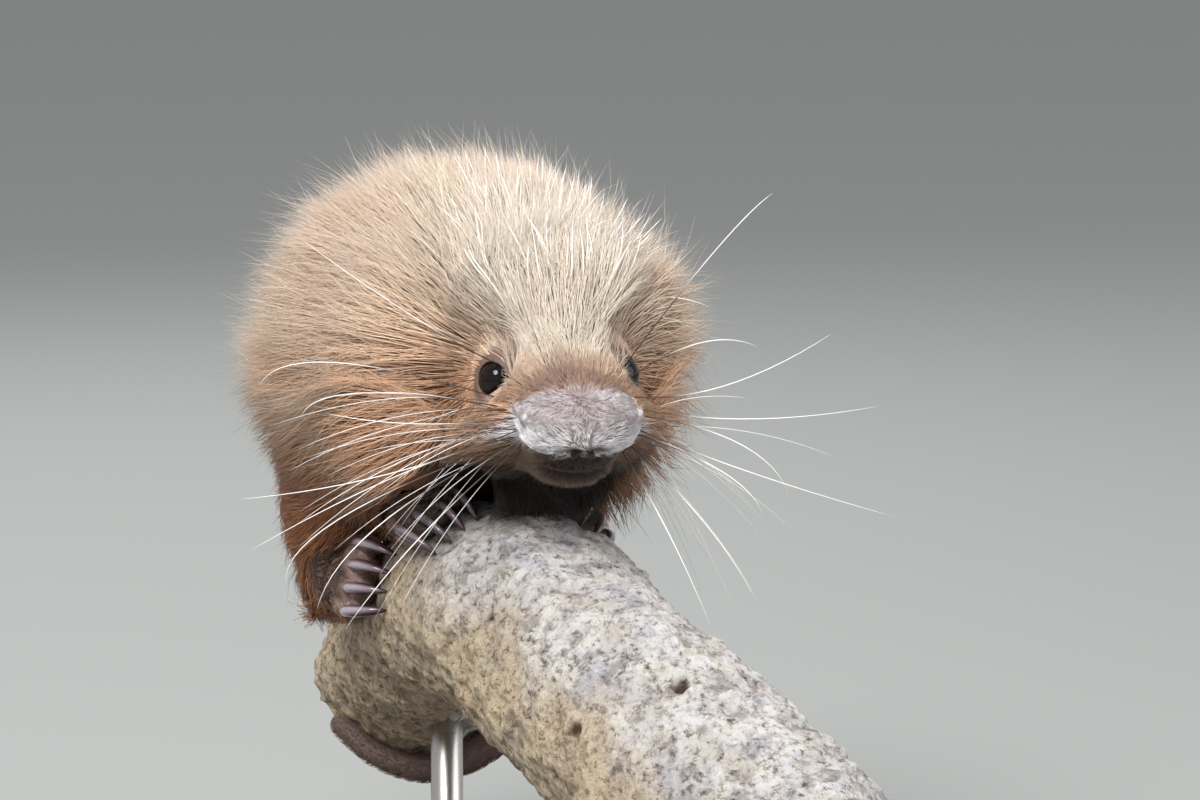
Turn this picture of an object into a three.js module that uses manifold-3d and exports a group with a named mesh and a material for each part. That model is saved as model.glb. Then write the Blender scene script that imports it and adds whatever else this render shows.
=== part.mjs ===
// A young prehensile-tailed porcupine, life size, crouched on a short cut length of branch.
// A flat base and two short rods hold the branch up.
// Millimetres, +Z up. The animal faces -Y and its right side is towards -X.
// The origin is the middle of the base's underside.
import * as THREE from 'three';
import { mergeVertices } from 'three/addons/utils/BufferGeometryUtils.js';
import Module from 'manifold-3d';

const wasm = await Module();
wasm.setup();

// Fit between pieces that touch
const GAP = 0.3;

// Stand
const BASE = { width: 150, length: 200, height: 12, corner: 24, edge: 1.5 };
const ROD = { radius: 4, front: -62, rear: 46, foot: 7, footHeight: 5 };

// Branch: an arched length, cut square at both ends
const BRANCH = { radius: 25, front: -126, rear: 100, height: 92, drop: 27.8, dropReach: 50,
                 bend: 18, bendReach: 60, arch: -5, bendAt: -15, taper: 0.0006 };
const TOP = BRANCH.height + BRANCH.radius;

// Head: its nose, its turn towards the animal's right and its pitch down, in degrees
const NOSE = new THREE.Vector3(-3.4, -55, TOP + 24);
const HEAD = { turn: 11, pitch: 16, length: 34 };
const MUZZLE = { wide: 13.6, high: 8.8, deep: 9.5, up: 1.6, square: 2.4, blend: -12 };
const JAW = { back: 7.5, down: 8.2, half: [9.2, 10.5, 5] };
const EYE = { radius: 5, back: 19.4, out: 13.2, up: 4.5, long: 4.4, open: 3.6, lid: 1.0, look: [0.55, 0.78, 0.30] };
const EAR = { radius: 5, back: 36, out: 19.5, up: 9, wall: 1.2, depth: 6, proud: 4.6,
              look: [0.42, 0.86, 0.3], clear: 0.6 };

// Coat: its length over the body, and its lean from upright at the face and on the body
const COAT = { face: 2, body: 25, starts: 12, ends: 40, faceLean: 74, bodyLean: 42, form: 0.42,
               flare: 1.2, sweep: 0.35 };

// Locks of the coat: shortest hair that makes one, spacing, width and thickness on the head and on the body
const LOCK = { shortest: 6.5, headSpacing: 6.7, bodySpacing: 9.9, wide: 1.35, thick: 3.6, sunk: 4.5, reach: 0.98,
               seed: 14, tries: 2600, clearEye: 8.5, clearEar: 5.5, lowest: 3 };

// Pale quills of the crown and back, which stand out of the locks
const QUILL = { from: 32, to: 80, above: 44, spacing: 9, length: 19, radius: 0.8, rise: 1.12, sunk: 4, seed: 5,
                tries: 700 };

// Distance from the nose at which the head ends, and the neck and the torso behind it
const PARTS = { head: 46, neck: 58, torso: 92 };

// Legs and feet, placed along the branch (y), round it from its top (turn, degrees) and above its bark
const FOOT = { long: 17, wide: 13, toes: 4, toeLength: 9, toeRadius: 2.9, spread: 9.5 };
const CLAW = { bend: 7.6, rise: 15, fall: -76, radius: 1.35, point: 0.28, up: 5.6, sunk: 1.6 };
const LIMBS = [
  { name: 'fore', side: 'right', y: 7, turn: -38, root: [-24, -8, 20], radius: 8.5, wrist: 6, size: 1 },
  { name: 'fore', side: 'left', y: 13, turn: 49, root: [24, -10, 20], radius: 8.5, wrist: 6, size: 1 },
  { name: 'hind', side: 'right', y: 28, turn: -76, root: [-23, 33, 20], radius: 13.5, wrist: 7, size: 1.08 },
  { name: 'hind', side: 'left', y: 30, turn: 72, root: [23, 34, 20], radius: 13.5, wrist: 7, size: 1.08 },
];

// Tail: from the rump down on to the branch, then round and under it
const TAIL = { root: 10.5, tip: 2.6, leave: [[1, 44, 24], [3, 60, 15], [6, 71, -2]], wrapFrom: 77, wrapTo: 90,
               turnFrom: 30, turnTo: 232, steps: 8, cuts: [0.36, 0.68] };

const V = (x, y, z) => new THREE.Vector3(x, y, z);
const rad = (degrees) => (degrees * Math.PI) / 180;
const mix = (a, b, t) => a + (b - a) * t;
const clamp = (t) => Math.min(1, Math.max(0, t));
const smooth = (from, to, v) => {
  const t = clamp((v - from) / (to - from));
  return t * t * (3 - 2 * t);
};
const hyp = (t) => Math.sqrt(1 + t * t);

// A closed geometry whose points are moved by place(), as a solid with its faces out
function solid(geometry, place = (p) => p) {
  const bare = geometry.clone();
  bare.deleteAttribute('normal');
  bare.deleteAttribute('uv');
  const merged = mergeVertices(bare, 1e-4);
  const at = merged.getAttribute('position');
  const vertProperties = new Float32Array(at.count * 3);
  for (let i = 0; i < at.count; i++) {
    place(V(at.getX(i), at.getY(i), at.getZ(i))).toArray(vertProperties, i * 3);
  }
  const triVerts = new Uint32Array(merged.index.array);
  const made = new wasm.Manifold(new wasm.Mesh({ numProp: 3, vertProperties, triVerts }));
  if (made.volume() > 0) return made;
  return new wasm.Manifold(new wasm.Mesh({ numProp: 3, vertProperties, triVerts: triVerts.reverse() }));
}

// Several solids fused into one
const fuse = (solids) => solids.reduce((all, one) => all.add(one));

// A round-ended tube along path(t) of half-size size(t), t from 0 to 1, with ends as blunt as asked
function limb(path, size, around = 12, along = 10, blunt = 1.9, up = V(0, 0, 1)) {
  return solid(new THREE.SphereGeometry(1, around, along), (p) => {
    const t = Math.acos(THREE.MathUtils.clamp(p.y, -1, 1)) / Math.PI;
    const round = Math.hypot(p.x, p.z);
    const spread = round < 1e-6 ? 0 : Math.min(1, Math.sin(Math.PI * t) * blunt) / round;
    const ahead = path(Math.min(1, t + 0.01)).sub(path(Math.max(0, t - 0.01))).normalize();
    const side = V().crossVectors(ahead, up).normalize();
    const top = V().crossVectors(side, ahead);
    return path(t).addScaledVector(side, p.x * spread * size(t))
      .addScaledVector(top, p.z * spread * size(t));
  });
}

// Branch

// Its centre line at y
function branchLine(y) {
  const x = BRANCH.bend * (hyp((y - BRANCH.bendAt) / BRANCH.bendReach) - 1);
  const z = BRANCH.height - BRANCH.drop * (hyp((y - BRANCH.arch) / BRANCH.dropReach) - 1);
  return V(x, y, z);
}

// Its radius at y and at an angle round it, with the swellings of the wood
function branchRadius(y, angle) {
  const swell = 0.020 * Math.sin(3 * angle + y / 15) + 0.014 * Math.sin(5 * angle - y / 9 + 1)
    + 0.018 * Math.sin(y / 21 + 2) + 0.012 * Math.sin(2 * angle + y / 6);
  return BRANCH.radius * (1 - BRANCH.taper * y) * (1 + swell);
}

// The point at y, turned round the branch from its top towards +X, and height above the bark
function onBranch(y, turn, height) {
  const ahead = branchLine(y + 0.5).sub(branchLine(y - 0.5)).normalize();
  const side = V().crossVectors(ahead, V(0, 0, 1)).normalize();
  const up = V().crossVectors(side, ahead);
  const angle = rad(turn);
  const reach = branchRadius(y, angle) + height;
  return branchLine(y).addScaledVector(up, reach * Math.cos(angle)).addScaledVector(side, reach * Math.sin(angle));
}

// The branch, or with grow the space round it that other pieces keep clear of
function branchSolid(grow = 0, around = 18, along = 20) {
  const log = new THREE.CylinderGeometry(1, 1, 1, around, along);
  return solid(log, (p) => {
    const y = mix(BRANCH.front - grow, BRANCH.rear + grow, p.y + 0.5);
    const round = Math.hypot(p.x, p.z);
    const turn = THREE.MathUtils.radToDeg(Math.atan2(p.x, p.z));
    if (round < 1e-6) return branchLine(y);
    return onBranch(y, turn, grow);
  });
}

// Head frame: forward, right and up from the nose
const FORWARD = V(-Math.sin(rad(HEAD.turn)), -Math.cos(rad(HEAD.turn)), 0)
  .multiplyScalar(Math.cos(rad(HEAD.pitch))).setZ(-Math.sin(rad(HEAD.pitch)));
const RIGHT = V().crossVectors(FORWARD, V(0, 0, 1)).normalize();
const UP = V().crossVectors(RIGHT, FORWARD);
const onHead = (forward, right, up) => NOSE.clone().addScaledVector(FORWARD, forward)
  .addScaledVector(RIGHT, right).addScaledVector(UP, up);
const BODY_AXES = [V(1, 0, 0), V(0, 1, 0), V(0, 0, 1)];
const HEAD_AXES = [RIGHT, FORWARD, UP];

// The masses of flesh that make up the animal's skin: centre, half-sizes and axes
const MASSES = [
  { at: V(0, 14, TOP + 35), half: [34, 38, 30], axes: BODY_AXES },
  { at: V(1, 31, TOP + 32), half: [33, 27, 30], axes: BODY_AXES },
  { at: V(0, -3, TOP + 30), half: [28, 24, 26], axes: BODY_AXES },
  ...[-1, 1].map((side) => ({ at: V(side * 23, 32, TOP + 14), half: [13, 18, 19], axes: BODY_AXES })),
  ...[-1, 1].map((side) => ({ at: V(side * 21, -5, TOP + 17), half: [10, 12, 14], axes: BODY_AXES })),
  { at: onHead(-HEAD.length, 0, 1), half: [20.5, 24, 18.5], axes: HEAD_AXES },
  { at: onHead(-19, 10, -4), half: [9.5, 13, 10], axes: HEAD_AXES },
  { at: onHead(-19, -10, -4), half: [9.5, 13, 10], axes: HEAD_AXES },
  { at: onHead(-14, 0, 2.4), half: [12.2, 15, 8.8], axes: HEAD_AXES },
  { at: onHead(0, 0, MUZZLE.up), half: [MUZZLE.wide, MUZZLE.deep, MUZZLE.high], axes: HEAD_AXES, square: MUZZLE.square },
];
const BLEND = 5;

// Distance outside one mass, roughly in millimetres
function outside(mass, p) {
  const from = p.clone().sub(mass.at);
  const power = mass.square ?? 2;
  const q = mass.axes.map((axis, i) => Math.abs(from.dot(axis)) / mass.half[i]);
  const norm = (q[0] ** power + q[1] ** power + q[2] ** power) ** (1 / power);
  const slope = Math.hypot(...q.map((v, i) => v ** (power - 1) / mass.half[i])) / Math.max(norm, 1e-6) ** (power - 1);
  return (norm - 1) / Math.max(slope, 1e-6);
}

// Distance outside the skin: all the masses melted together
function skin(p) {
  return MASSES.map((mass) => outside(mass, p)).reduce((a, b) => {
    const h = clamp(0.5 + (0.5 * (b - a)) / BLEND);
    return mix(b, a, h) - BLEND * h * (1 - h);
  });
}

// Outward direction of the skin at p
function normalAt(p) {
  const e = 0.5;
  return V(
    skin(V(p.x + e, p.y, p.z)) - skin(V(p.x - e, p.y, p.z)),
    skin(V(p.x, p.y + e, p.z)) - skin(V(p.x, p.y - e, p.z)),
    skin(V(p.x, p.y, p.z + e)) - skin(V(p.x, p.y, p.z - e)),
  ).normalize();
}

const EYES = { right: onHead(-EYE.back, EYE.out, EYE.up), left: onHead(-EYE.back, -EYE.out, EYE.up) };
const EARS = { right: onHead(-EAR.back, EAR.out, EAR.up), left: onHead(-EAR.back, -EAR.out, EAR.up) };

// How far the coat stands off the skin at p
function coatDepth(p) {
  const fromNose = p.distanceTo(NOSE);
  const grown = smooth(COAT.starts, COAT.ends, fromNose);
  const length = mix(COAT.face, COAT.body, grown);
  const lean = rad(mix(COAT.faceLean, COAT.bodyLean, grown));
  const belly = smooth(26, 12, Math.abs(p.x)) * smooth(TOP + 20, TOP + 2, p.z);
  const eye = smooth(6, 12, Math.min(p.distanceTo(EYES.right), p.distanceTo(EYES.left)));
  return length * Math.cos(lean) * 0.92 * (1 - 0.8 * belly) * eye;
}

// The point on the ray from centre where the skin ends, or a share of the coat above it
function alongRay(centre, direction, share, grow) {
  let near = 2;
  let far = 140;
  for (let i = 0; i < 26; i++) {
    const reach = (near + far) / 2;
    const at = centre.clone().addScaledVector(direction, reach);
    if (skin(at) < share * coatDepth(at) + grow) near = reach;
    else far = reach;
  }
  return centre.clone().addScaledVector(direction, near);
}

// A form that spreads from centre out to the skin, or to a share of the coat above it
const form = (centre, share, detail, grow = 0) => solid(new THREE.IcosahedronGeometry(1, detail),
  (p) => alongRay(centre, p, share, grow));

// Repeatable random numbers from 0 to 1
function randomFrom(seed) {
  let state = seed;
  return () => {
    state = (state * 1664525 + 1013904223) % 4294967296;
    return state / 4294967296;
  };
}

// The point of the skin nearest to p, found in a few steps
function ontoSkin(p) {
  const at = p.clone();
  for (let i = 0; i < 3; i++) at.addScaledVector(normalAt(at), -skin(at));
  return at;
}

// The lie of the coat on the skin: away from the nose, and downwards on the flanks
function lieAt(p, normal) {
  const away = p.clone().sub(NOSE).normalize();
  away.z -= COAT.sweep * smooth(COAT.starts, COAT.ends, p.distanceTo(NOSE)) * Math.hypot(normal.x, normal.y);
  return away.addScaledVector(normal, -away.dot(normal)).normalize();
}

// Points spread evenly over the skin, at least spacing(p) apart, where allowed(p) holds
function spread(seed, tries, spacing, allowed) {
  const random = randomFrom(seed);
  const kept = [];
  for (let i = 0; i < tries; i++) {
    const z = 2 * random() - 1;
    const turn = 2 * Math.PI * random();
    const flat = Math.sqrt(1 - z * z);
    const at = ontoSkin(alongRay(bodyCentre, V(flat * Math.cos(turn), flat * Math.sin(turn), z), 0, 0));
    if (allowed(at) && kept.every((other) => other.distanceTo(at) > spacing(at))) kept.push(at);
  }
  return kept;
}

// A course over the skin from root: t from 0 to 1 goes `along` by the lie while it rises from low to high
function course(root, along, low, high, turn) {
  const steps = 6;
  const places = [root.clone()];
  for (let i = 1; i <= steps; i++) {
    const at = places[i - 1];
    const normal = normalAt(at);
    const lie = lieAt(at, normal).applyAxisAngle(normal, turn * (i / steps));
    places.push(ontoSkin(at.clone().addScaledVector(lie, along / steps)));
  }
  return (t) => {
    const step = Math.min(steps - 1, Math.floor(t * steps));
    const at = places[step].clone().lerp(places[step + 1], t * steps - step);
    return at.addScaledVector(normalAt(at), mix(low, high, t ** 0.85));
  };
}

// A flat lock: pointed at its tip, widest a third of the way along, its root sunk in the core
function lockSolid(root, random) {
  const fromNose = root.distanceTo(NOSE);
  const grown = smooth(COAT.starts, COAT.ends, fromNose);
  const length = mix(COAT.face, COAT.body, grown) * mix(0.9, 1.12, random());
  const depth = coatDepth(root) * LOCK.reach * mix(0.92, 1.06, random());
  const lean = rad(mix(COAT.faceLean, COAT.bodyLean, grown));
  const half = lockSpacing(root) * 0.5 * LOCK.wide * mix(0.9, 1.12, random());
  const thick = (LOCK.thick / 2) * mix(0.6, 1, grown);
  const low = COAT.form * depth - LOCK.sunk;
  const line = course(root, length * Math.sin(lean) * 1.25, low, depth, mix(-0.35, 0.35, random()));
  return taper(line, (t) => half * (t < 0.34 ? mix(0.75, 1, t / 0.34) : mix(1, 0.1, ((t - 0.34) / 0.66) ** 1.3)),
               (t) => thick * mix(1, 0.25, t), 4, 2);
}

// A spine or lock along line(t) with half its width and half its thickness at t, ending in a point
function taper(line, halfWide, halfThick, around, along) {
  return solid(new THREE.ConeGeometry(1, 1, around, along), (p) => {
    const t = clamp(p.y + 0.5);
    if (t > 0.999) return line(1);
    const at = line(t);
    const ahead = line(Math.min(1, t + 0.05)).sub(line(Math.max(0, t - 0.05))).normalize();
    const side = V().crossVectors(ahead, normalAt(at)).normalize();
    const up = V().crossVectors(side, ahead);
    return at.addScaledVector(side, (p.x / (1 - t)) * halfWide(t)).addScaledVector(up, (p.z / (1 - t)) * halfThick(t));
  });
}

// A stiff spine whose tip stands just above the locks
function quillSolid(root, random) {
  const depth = coatDepth(root);
  const along = QUILL.length * mix(0.75, 1.1, random());
  const line = course(root, along, COAT.form * depth - QUILL.sunk, depth * QUILL.rise, mix(-0.3, 0.3, random()));
  const half = (t) => QUILL.radius * mix(1, 0.5, t);
  return taper(line, half, half, 3, 2);
}

const lockSpacing = (p) => mix(LOCK.headSpacing, LOCK.bodySpacing, smooth(24, 50, p.distanceTo(NOSE)));

// The space nearer the nose than reach, which flares backwards outside the skin as the hair lies
function nearNose(reach, shift = 0) {
  return solid(new THREE.IcosahedronGeometry(1, 4), (p) => {
    let near = 10;
    let far = 125;
    for (let i = 0; i < 22; i++) {
      const out = (near + far) / 2;
      const lag = Math.max(0, skin(NOSE.clone().addScaledVector(p, out))) * COAT.flare;
      if (out - lag < reach + shift * hyp(COAT.flare)) near = out;
      else far = out;
    }
    return NOSE.clone().addScaledVector(p, near);
  });
}

const nodes = [];

// Adds one named node, keeping only its largest closed surface
function add(name, made, colour, roughness) {
  const parts = made.decompose().sort((a, b) => b.volume() - a.volume());
  const mesh = parts[0].getMesh();
  const geometry = new THREE.BufferGeometry();
  const points = new Float32Array(mesh.numVert * 3);
  for (let i = 0; i < mesh.numVert; i++) {
    points.set(mesh.vertProperties.subarray(i * mesh.numProp, i * mesh.numProp + 3), i * 3);
  }
  geometry.setAttribute('position', new THREE.BufferAttribute(points, 3));
  geometry.setIndex(new THREE.BufferAttribute(mesh.triVerts, 1));
  const node = new THREE.Mesh(geometry, new THREE.MeshStandardMaterial({ color: colour, roughness }));
  node.name = name;
  nodes.push(node);
}

const FUR = '#c98f5c';
const SKIN = '#b59a90';
const CLAW_HORN = '#3b2526';
const BARK = '#a59a86';

// Stand: a flat base with rounded corners, and rods that end under the branch

function baseSolid() {
  const { width, length, height, corner, edge } = BASE;
  const x = width / 2 - edge;
  const y = length / 2 - edge;
  const r = corner - edge;
  const outline = new THREE.Shape();
  outline.moveTo(-x + r, -y);
  outline.lineTo(x - r, -y);
  outline.absarc(x - r, -y + r, r, -Math.PI / 2, 0);
  outline.absarc(x - r, y - r, r, 0, Math.PI / 2);
  outline.absarc(-x + r, y - r, r, Math.PI / 2, Math.PI);
  outline.absarc(-x + r, -y + r, r, Math.PI, Math.PI * 1.5);
  const slab = new THREE.ExtrudeGeometry(outline, { depth: height - 2 * edge, curveSegments: 4,
    bevelEnabled: true, bevelThickness: edge, bevelSize: edge, bevelSegments: 1 });
  return solid(slab, (p) => p.add(V(0, 0, edge)));
}

function rodSolid(y) {
  const at = branchLine(y);
  const foot = BASE.height + GAP;
  const profile = [[0, foot], [ROD.foot, foot], [ROD.foot, foot + ROD.footHeight - 1],
                   [ROD.foot - 1, foot + ROD.footHeight], [ROD.radius, foot + ROD.footHeight], [ROD.radius, at.z], [0, at.z]]
    .map(([x, z]) => new THREE.Vector2(x, z));
  return solid(new THREE.LatheGeometry(profile, 12), (p) => V(at.x + p.x, y + p.z, p.y));
}

const keepOff = branchSolid(GAP);
add('stand_base', baseSolid(), '#2b2a28', 0.5);
add('stand_rod_front', rodSolid(ROD.front).subtract(keepOff), '#8f8a7c', 0.35);
add('stand_rod_rear', rodSolid(ROD.rear).subtract(keepOff), '#8f8a7c', 0.35);
add('perch_branch', branchSolid(), BARK, 0.9);

// Feet: a pad on the bark, four toes that point forward and a hooked claw on each

function toe(leg, index) {
  const across = (index - (FOOT.toes - 1) / 2) * leg.size;
  const reach = (FOOT.toeLength - 1.1 * Math.abs(across)) * leg.size;
  const turn = leg.turn + Math.sign(leg.turn) * across * FOOT.spread;
  const knuckle = leg.y - 4 * leg.size;
  const line = (t) => onBranch(knuckle + 5 - (reach + 5) * t, mix(leg.turn, turn, 0.55 + 0.45 * t),
                               3.9 + 1.6 * Math.sin(Math.PI * t * 0.8));
  return { turn, line, tip: knuckle - reach };
}

function footSolid(leg, grow = 0) {
  const half = (FOOT.long / 2) * leg.size;
  const sole = (t) => onBranch(leg.y + half - 2 * half * t, leg.turn, 5.8 - 2.2 * t);
  const pad = limb(sole, (t) => (FOOT.wide / 2) * leg.size * mix(0.85, 1, t) + grow, 8, 5);
  const toes = Array.from({ length: FOOT.toes }, (_, i) => limb(toe(leg, i).line,
    (t) => FOOT.toeRadius * leg.size * mix(1, 0.86, t) + grow, 6, 3));
  return fuse([pad, ...toes]);
}

// The clear space round a whole foot, from its heel to the points of its claws
function footSpaceSolid(leg) {
  const half = (FOOT.long / 2) * leg.size;
  const ahead = half + (FOOT.toeLength + 2 * CLAW.bend) * leg.size;
  const line = (t) => onBranch(leg.y + half + GAP - (half + ahead) * t, leg.turn, mix(6, 4, t));
  return limb(line, (t) => (FOOT.wide / 2) * leg.size * mix(1.2, 1.5, t) + 1.5, 9, 6, 4);
}

function clawLine(leg, index, t) {
  const { tip, turn } = toe(leg, index);
  const bend = CLAW.bend * leg.size;
  const start = rad(CLAW.rise);
  const angle = mix(start, rad(CLAW.fall), t);
  const forward = bend * (Math.sin(start) - Math.sin(angle));
  const rise = bend * (Math.cos(angle) - Math.cos(start));
  return onBranch(tip + CLAW.sunk - forward, turn, CLAW.up + rise);
}

// A tapered horn on the toe's end that bends down until its point meets the bark
function clawSolid(leg, index, grow = 0) {
  const outward = onBranch(leg.y, leg.turn, 0).sub(branchLine(leg.y));
  return solid(new THREE.ConeGeometry(1, 1, 5, 4), (p) => {
    const t = clamp(p.y + 0.5);
    if (t > 0.999) return clawLine(leg, index, t);
    const ahead = clawLine(leg, index, t + 0.02).sub(clawLine(leg, index, t - 0.02)).normalize();
    const side = V().crossVectors(ahead, outward).normalize();
    const top = V().crossVectors(side, ahead);
    const width = (mix(CLAW.radius, CLAW.point, t ** 1.5) * leg.size + grow) / (1 - t);
    return clawLine(leg, index, t).addScaledVector(side, p.x * width * 0.8)
      .addScaledVector(top, p.z * width * 1.15);
  });
}

// Legs: short in this crouch, from the body's side down to the back of the foot
function legSolid(leg, grow = 0) {
  const root = V(leg.root[0], leg.root[1], leg.root[2] + TOP);
  const ankle = onBranch(leg.y + FOOT.long * 0.3 * leg.size, leg.turn, leg.wrist);
  const knee = root.clone().lerp(ankle, 0.5).add(V(Math.sign(leg.turn) * 5, 2, 2));
  const bend = new THREE.QuadraticBezierCurve3(root, knee, ankle);
  return limb((t) => bend.getPoint(t), (t) => mix(leg.radius, 5.2 * leg.size, t ** 0.8) + grow, 9, 6);
}

// Tail: out of the rump, down on to the branch, then round and under it
const tailRadius = (t) => mix(TAIL.root, TAIL.tip, t ** 0.75);
const tailLine = new THREE.CatmullRomCurve3([
  ...TAIL.leave.map(([x, y, z]) => V(x, y, z + TOP)),
  ...Array.from({ length: TAIL.steps + 1 }, (_, i) => {
    const t = i / TAIL.steps;
    return onBranch(mix(TAIL.wrapFrom, TAIL.wrapTo, t), mix(TAIL.turnFrom, TAIL.turnTo, t),
                    tailRadius(mix(0.34, 1, t)) + GAP);
  }),
], false, 'centripetal');

function tailSolid(grow = 0) {
  return limb((t) => tailLine.getPointAt(t), (t) => tailRadius(t) + grow, 8, 18, 6, V(0, 1, 0.2));
}

// A thin disc across the tail at t, which parts one length from the next
function tailCut(t) {
  const turn = new THREE.Quaternion().setFromUnitVectors(V(0, 1, 0), tailLine.getTangentAt(t));
  const disc = new THREE.CylinderGeometry(tailRadius(t) * 1.4, tailRadius(t) * 1.4, GAP, 16);
  return solid(disc, (p) => p.applyQuaternion(turn).add(tailLine.getPointAt(t)));
}

// Head

const ball = (at, half, axes = BODY_AXES, detail = [12, 8]) => solid(new THREE.SphereGeometry(1, ...detail),
  (p) => at.clone().addScaledVector(axes[0], p.x * half[0]).addScaledVector(axes[1], p.y * half[1])
    .addScaledVector(axes[2], p.z * half[2]));

// The half of space in front of a plane across the head
function inFrontOf(forward) {
  const room = 60;
  return solid(new THREE.BoxGeometry(2 * room, 2 * room, 2 * room),
    (p) => onHead(forward + room + p.y, p.x, p.z));
}

// The way an eye looks: mostly outward, a little forward and up
function eyeAxes(side) {
  const out = FORWARD.clone().multiplyScalar(EYE.look[0]).addScaledVector(RIGHT, side * EYE.look[1])
    .addScaledVector(UP, EYE.look[2]).normalize();
  const along = V().crossVectors(out, UP).normalize();
  return [along, V().crossVectors(out, along), out];
}

// The way an ear faces: mostly outward, a little forward and up
function earAxes(side) {
  const out = RIGHT.clone().multiplyScalar(side * EAR.look[1]).addScaledVector(UP, EAR.look[2])
    .addScaledVector(FORWARD, EAR.look[0]).normalize();
  const along = V().crossVectors(UP, out).normalize();
  return [along, V().crossVectors(out, along), out];
}

// A form turned round the way that the ear on one side faces, a little taller than wide
function earForm(side, profile, around) {
  const [along, rise, out] = earAxes(side);
  const at = EARS[side > 0 ? 'right' : 'left'].clone().addScaledVector(out, EAR.proud);
  const points = profile.map(([x, z]) => new THREE.Vector2(x, z));
  return solid(new THREE.LatheGeometry(points, around), (p) => at.clone().addScaledVector(out, p.y)
    .addScaledVector(along, p.x * 0.85).addScaledVector(rise, p.z * 1.15));
}

// Ear: a small thin cup
function earSolid(side) {
  const { radius, wall, depth } = EAR;
  return earForm(side, [[0, -depth], [radius * 0.55, -depth], [radius * 0.9, -depth * 0.45], [radius, 0],
    [radius - wall * 0.6, 0.2], [radius * 0.9 - wall, -depth * 0.4], [radius * 0.3, wall - depth],
    [0, wall - depth]], 10);
}

// The clear space in the coat round an ear
function earRoom(side) {
  const { radius, clear, depth } = EAR;
  return earForm(side, [[0, -depth - clear], [radius * 0.55 + clear, -depth - clear],
    [radius + clear, -depth * 0.45], [radius + clear, clear], [0, clear]], 10);
}

const SIDES = { right: 1, left: -1 };
const bodyCentre = V(0, 12, TOP + 35);
const headCentre = onHead(-HEAD.length, 0, 0);

const claws = LIMBS.map((leg) => Array.from({ length: FOOT.toes }, (_, i) => clawSolid(leg, i)));
const footSpace = fuse(LIMBS.map(footSpaceSolid));
const clawRoom = fuse(LIMBS.flatMap((leg) => Array.from({ length: FOOT.toes }, (_, i) => clawSolid(leg, i, GAP))));
const footRoom = fuse(LIMBS.map((leg) => footSolid(leg, GAP)));
const legRoom = fuse(LIMBS.map((leg) => legSolid(leg, GAP)));
const flesh = form(bodyCentre, 0, 5);
const bodyRoom = form(bodyCentre, 0, 5, GAP);

LIMBS.forEach((leg, i) => {
  const label = leg.name + '_' + leg.side;
  add('leg_' + label, legSolid(leg).subtract(bodyRoom).subtract(footRoom).subtract(keepOff), FUR, 0.9);
  add('foot_' + label, footSolid(leg).subtract(clawRoom).subtract(keepOff), SKIN, 0.7);
  claws[i].forEach((claw, n) => add('claw_' + label + '_' + (n + 1), claw.subtract(keepOff), CLAW_HORN, 0.3));
});

const limbRoom = fuse([legRoom, tailSolid(GAP)]).subtract(flesh).add(fuse([keepOff, footSpace, footRoom, clawRoom]));

const eyes = Object.entries(SIDES).map(([side, sign]) => {
  const at = EYES[side];
  const axes = eyeAxes(sign);
  const round = (r) => ball(at, [r, r, r], axes, [10, 6]);
  add('eye_' + side, round(EYE.radius), '#140d0b', 0.08);
  const mouth = at.clone().addScaledVector(axes[2], EYE.radius);
  return { lids: round(EYE.radius + GAP + EYE.lid), socket: round(EYE.radius + GAP),
           opening: ball(mouth, [EYE.long, EYE.open, 3.2], axes, [12, 6]) };
});

const headRegion = nearNose(PARTS.head);
const headKeep = nearNose(PARTS.head, GAP);
const neckRegion = nearNose(PARTS.neck);
const neckKeep = nearNose(PARTS.neck, GAP);
const torsoRegion = nearNose(PARTS.torso);
const torsoKeep = nearNose(PARTS.torso, GAP);

const nostrils = [1, -1].map((side) => limb(
  (t) => onHead(MUZZLE.deep - 3.5 * t, side * (2.4 + 1.6 * t), -2.6 + 0.6 * t), () => 1.3, 6, 4));
const muzzle = form(onHead(MUZZLE.blend + 5, 0, 1.5), COAT.form, 5).intersect(inFrontOf(MUZZLE.blend));
const jawBall = (grow) => ball(onHead(-JAW.back, 0, -JAW.down), JAW.half.map((v) => v + grow), HEAD_AXES, [10, 6]);
const jaw = jawBall(0);
const jawRoom = jawBall(GAP);

// Locks and quills of the coat, each on the part of the body that its root stands in
const random = randomFrom(LOCK.seed);
const hairAt = (p) => mix(COAT.face, COAT.body, smooth(COAT.starts, COAT.ends, p.distanceTo(NOSE)));
const clearOf = (p, places, gap) => Object.values(places).every((at) => at.distanceTo(p) > gap);
const bearsLock = (p) => hairAt(p) > LOCK.shortest && coatDepth(p) > LOCK.lowest
  && clearOf(p, EYES, LOCK.clearEye) && clearOf(p, EARS, LOCK.clearEar);
const lockRoots = spread(LOCK.seed, LOCK.tries, lockSpacing, bearsLock);
const quillRoots = spread(QUILL.seed, QUILL.tries, () => QUILL.spacing, (p) => p.z > TOP + QUILL.above
  && p.distanceTo(NOSE) > QUILL.from && p.distanceTo(NOSE) < QUILL.to && clearOf(p, EARS, LOCK.clearEar));
const coatPieces = [...lockRoots.map((root) => ({ root, made: lockSolid(root, random) })),
                    ...quillRoots.map((root) => ({ root, made: quillSolid(root, random) }))];
const coatOf = (from, to) => fuse(coatPieces.filter(({ root }) => root.distanceTo(NOSE) >= from
  && root.distanceTo(NOSE) < to).map(({ made }) => made));

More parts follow.
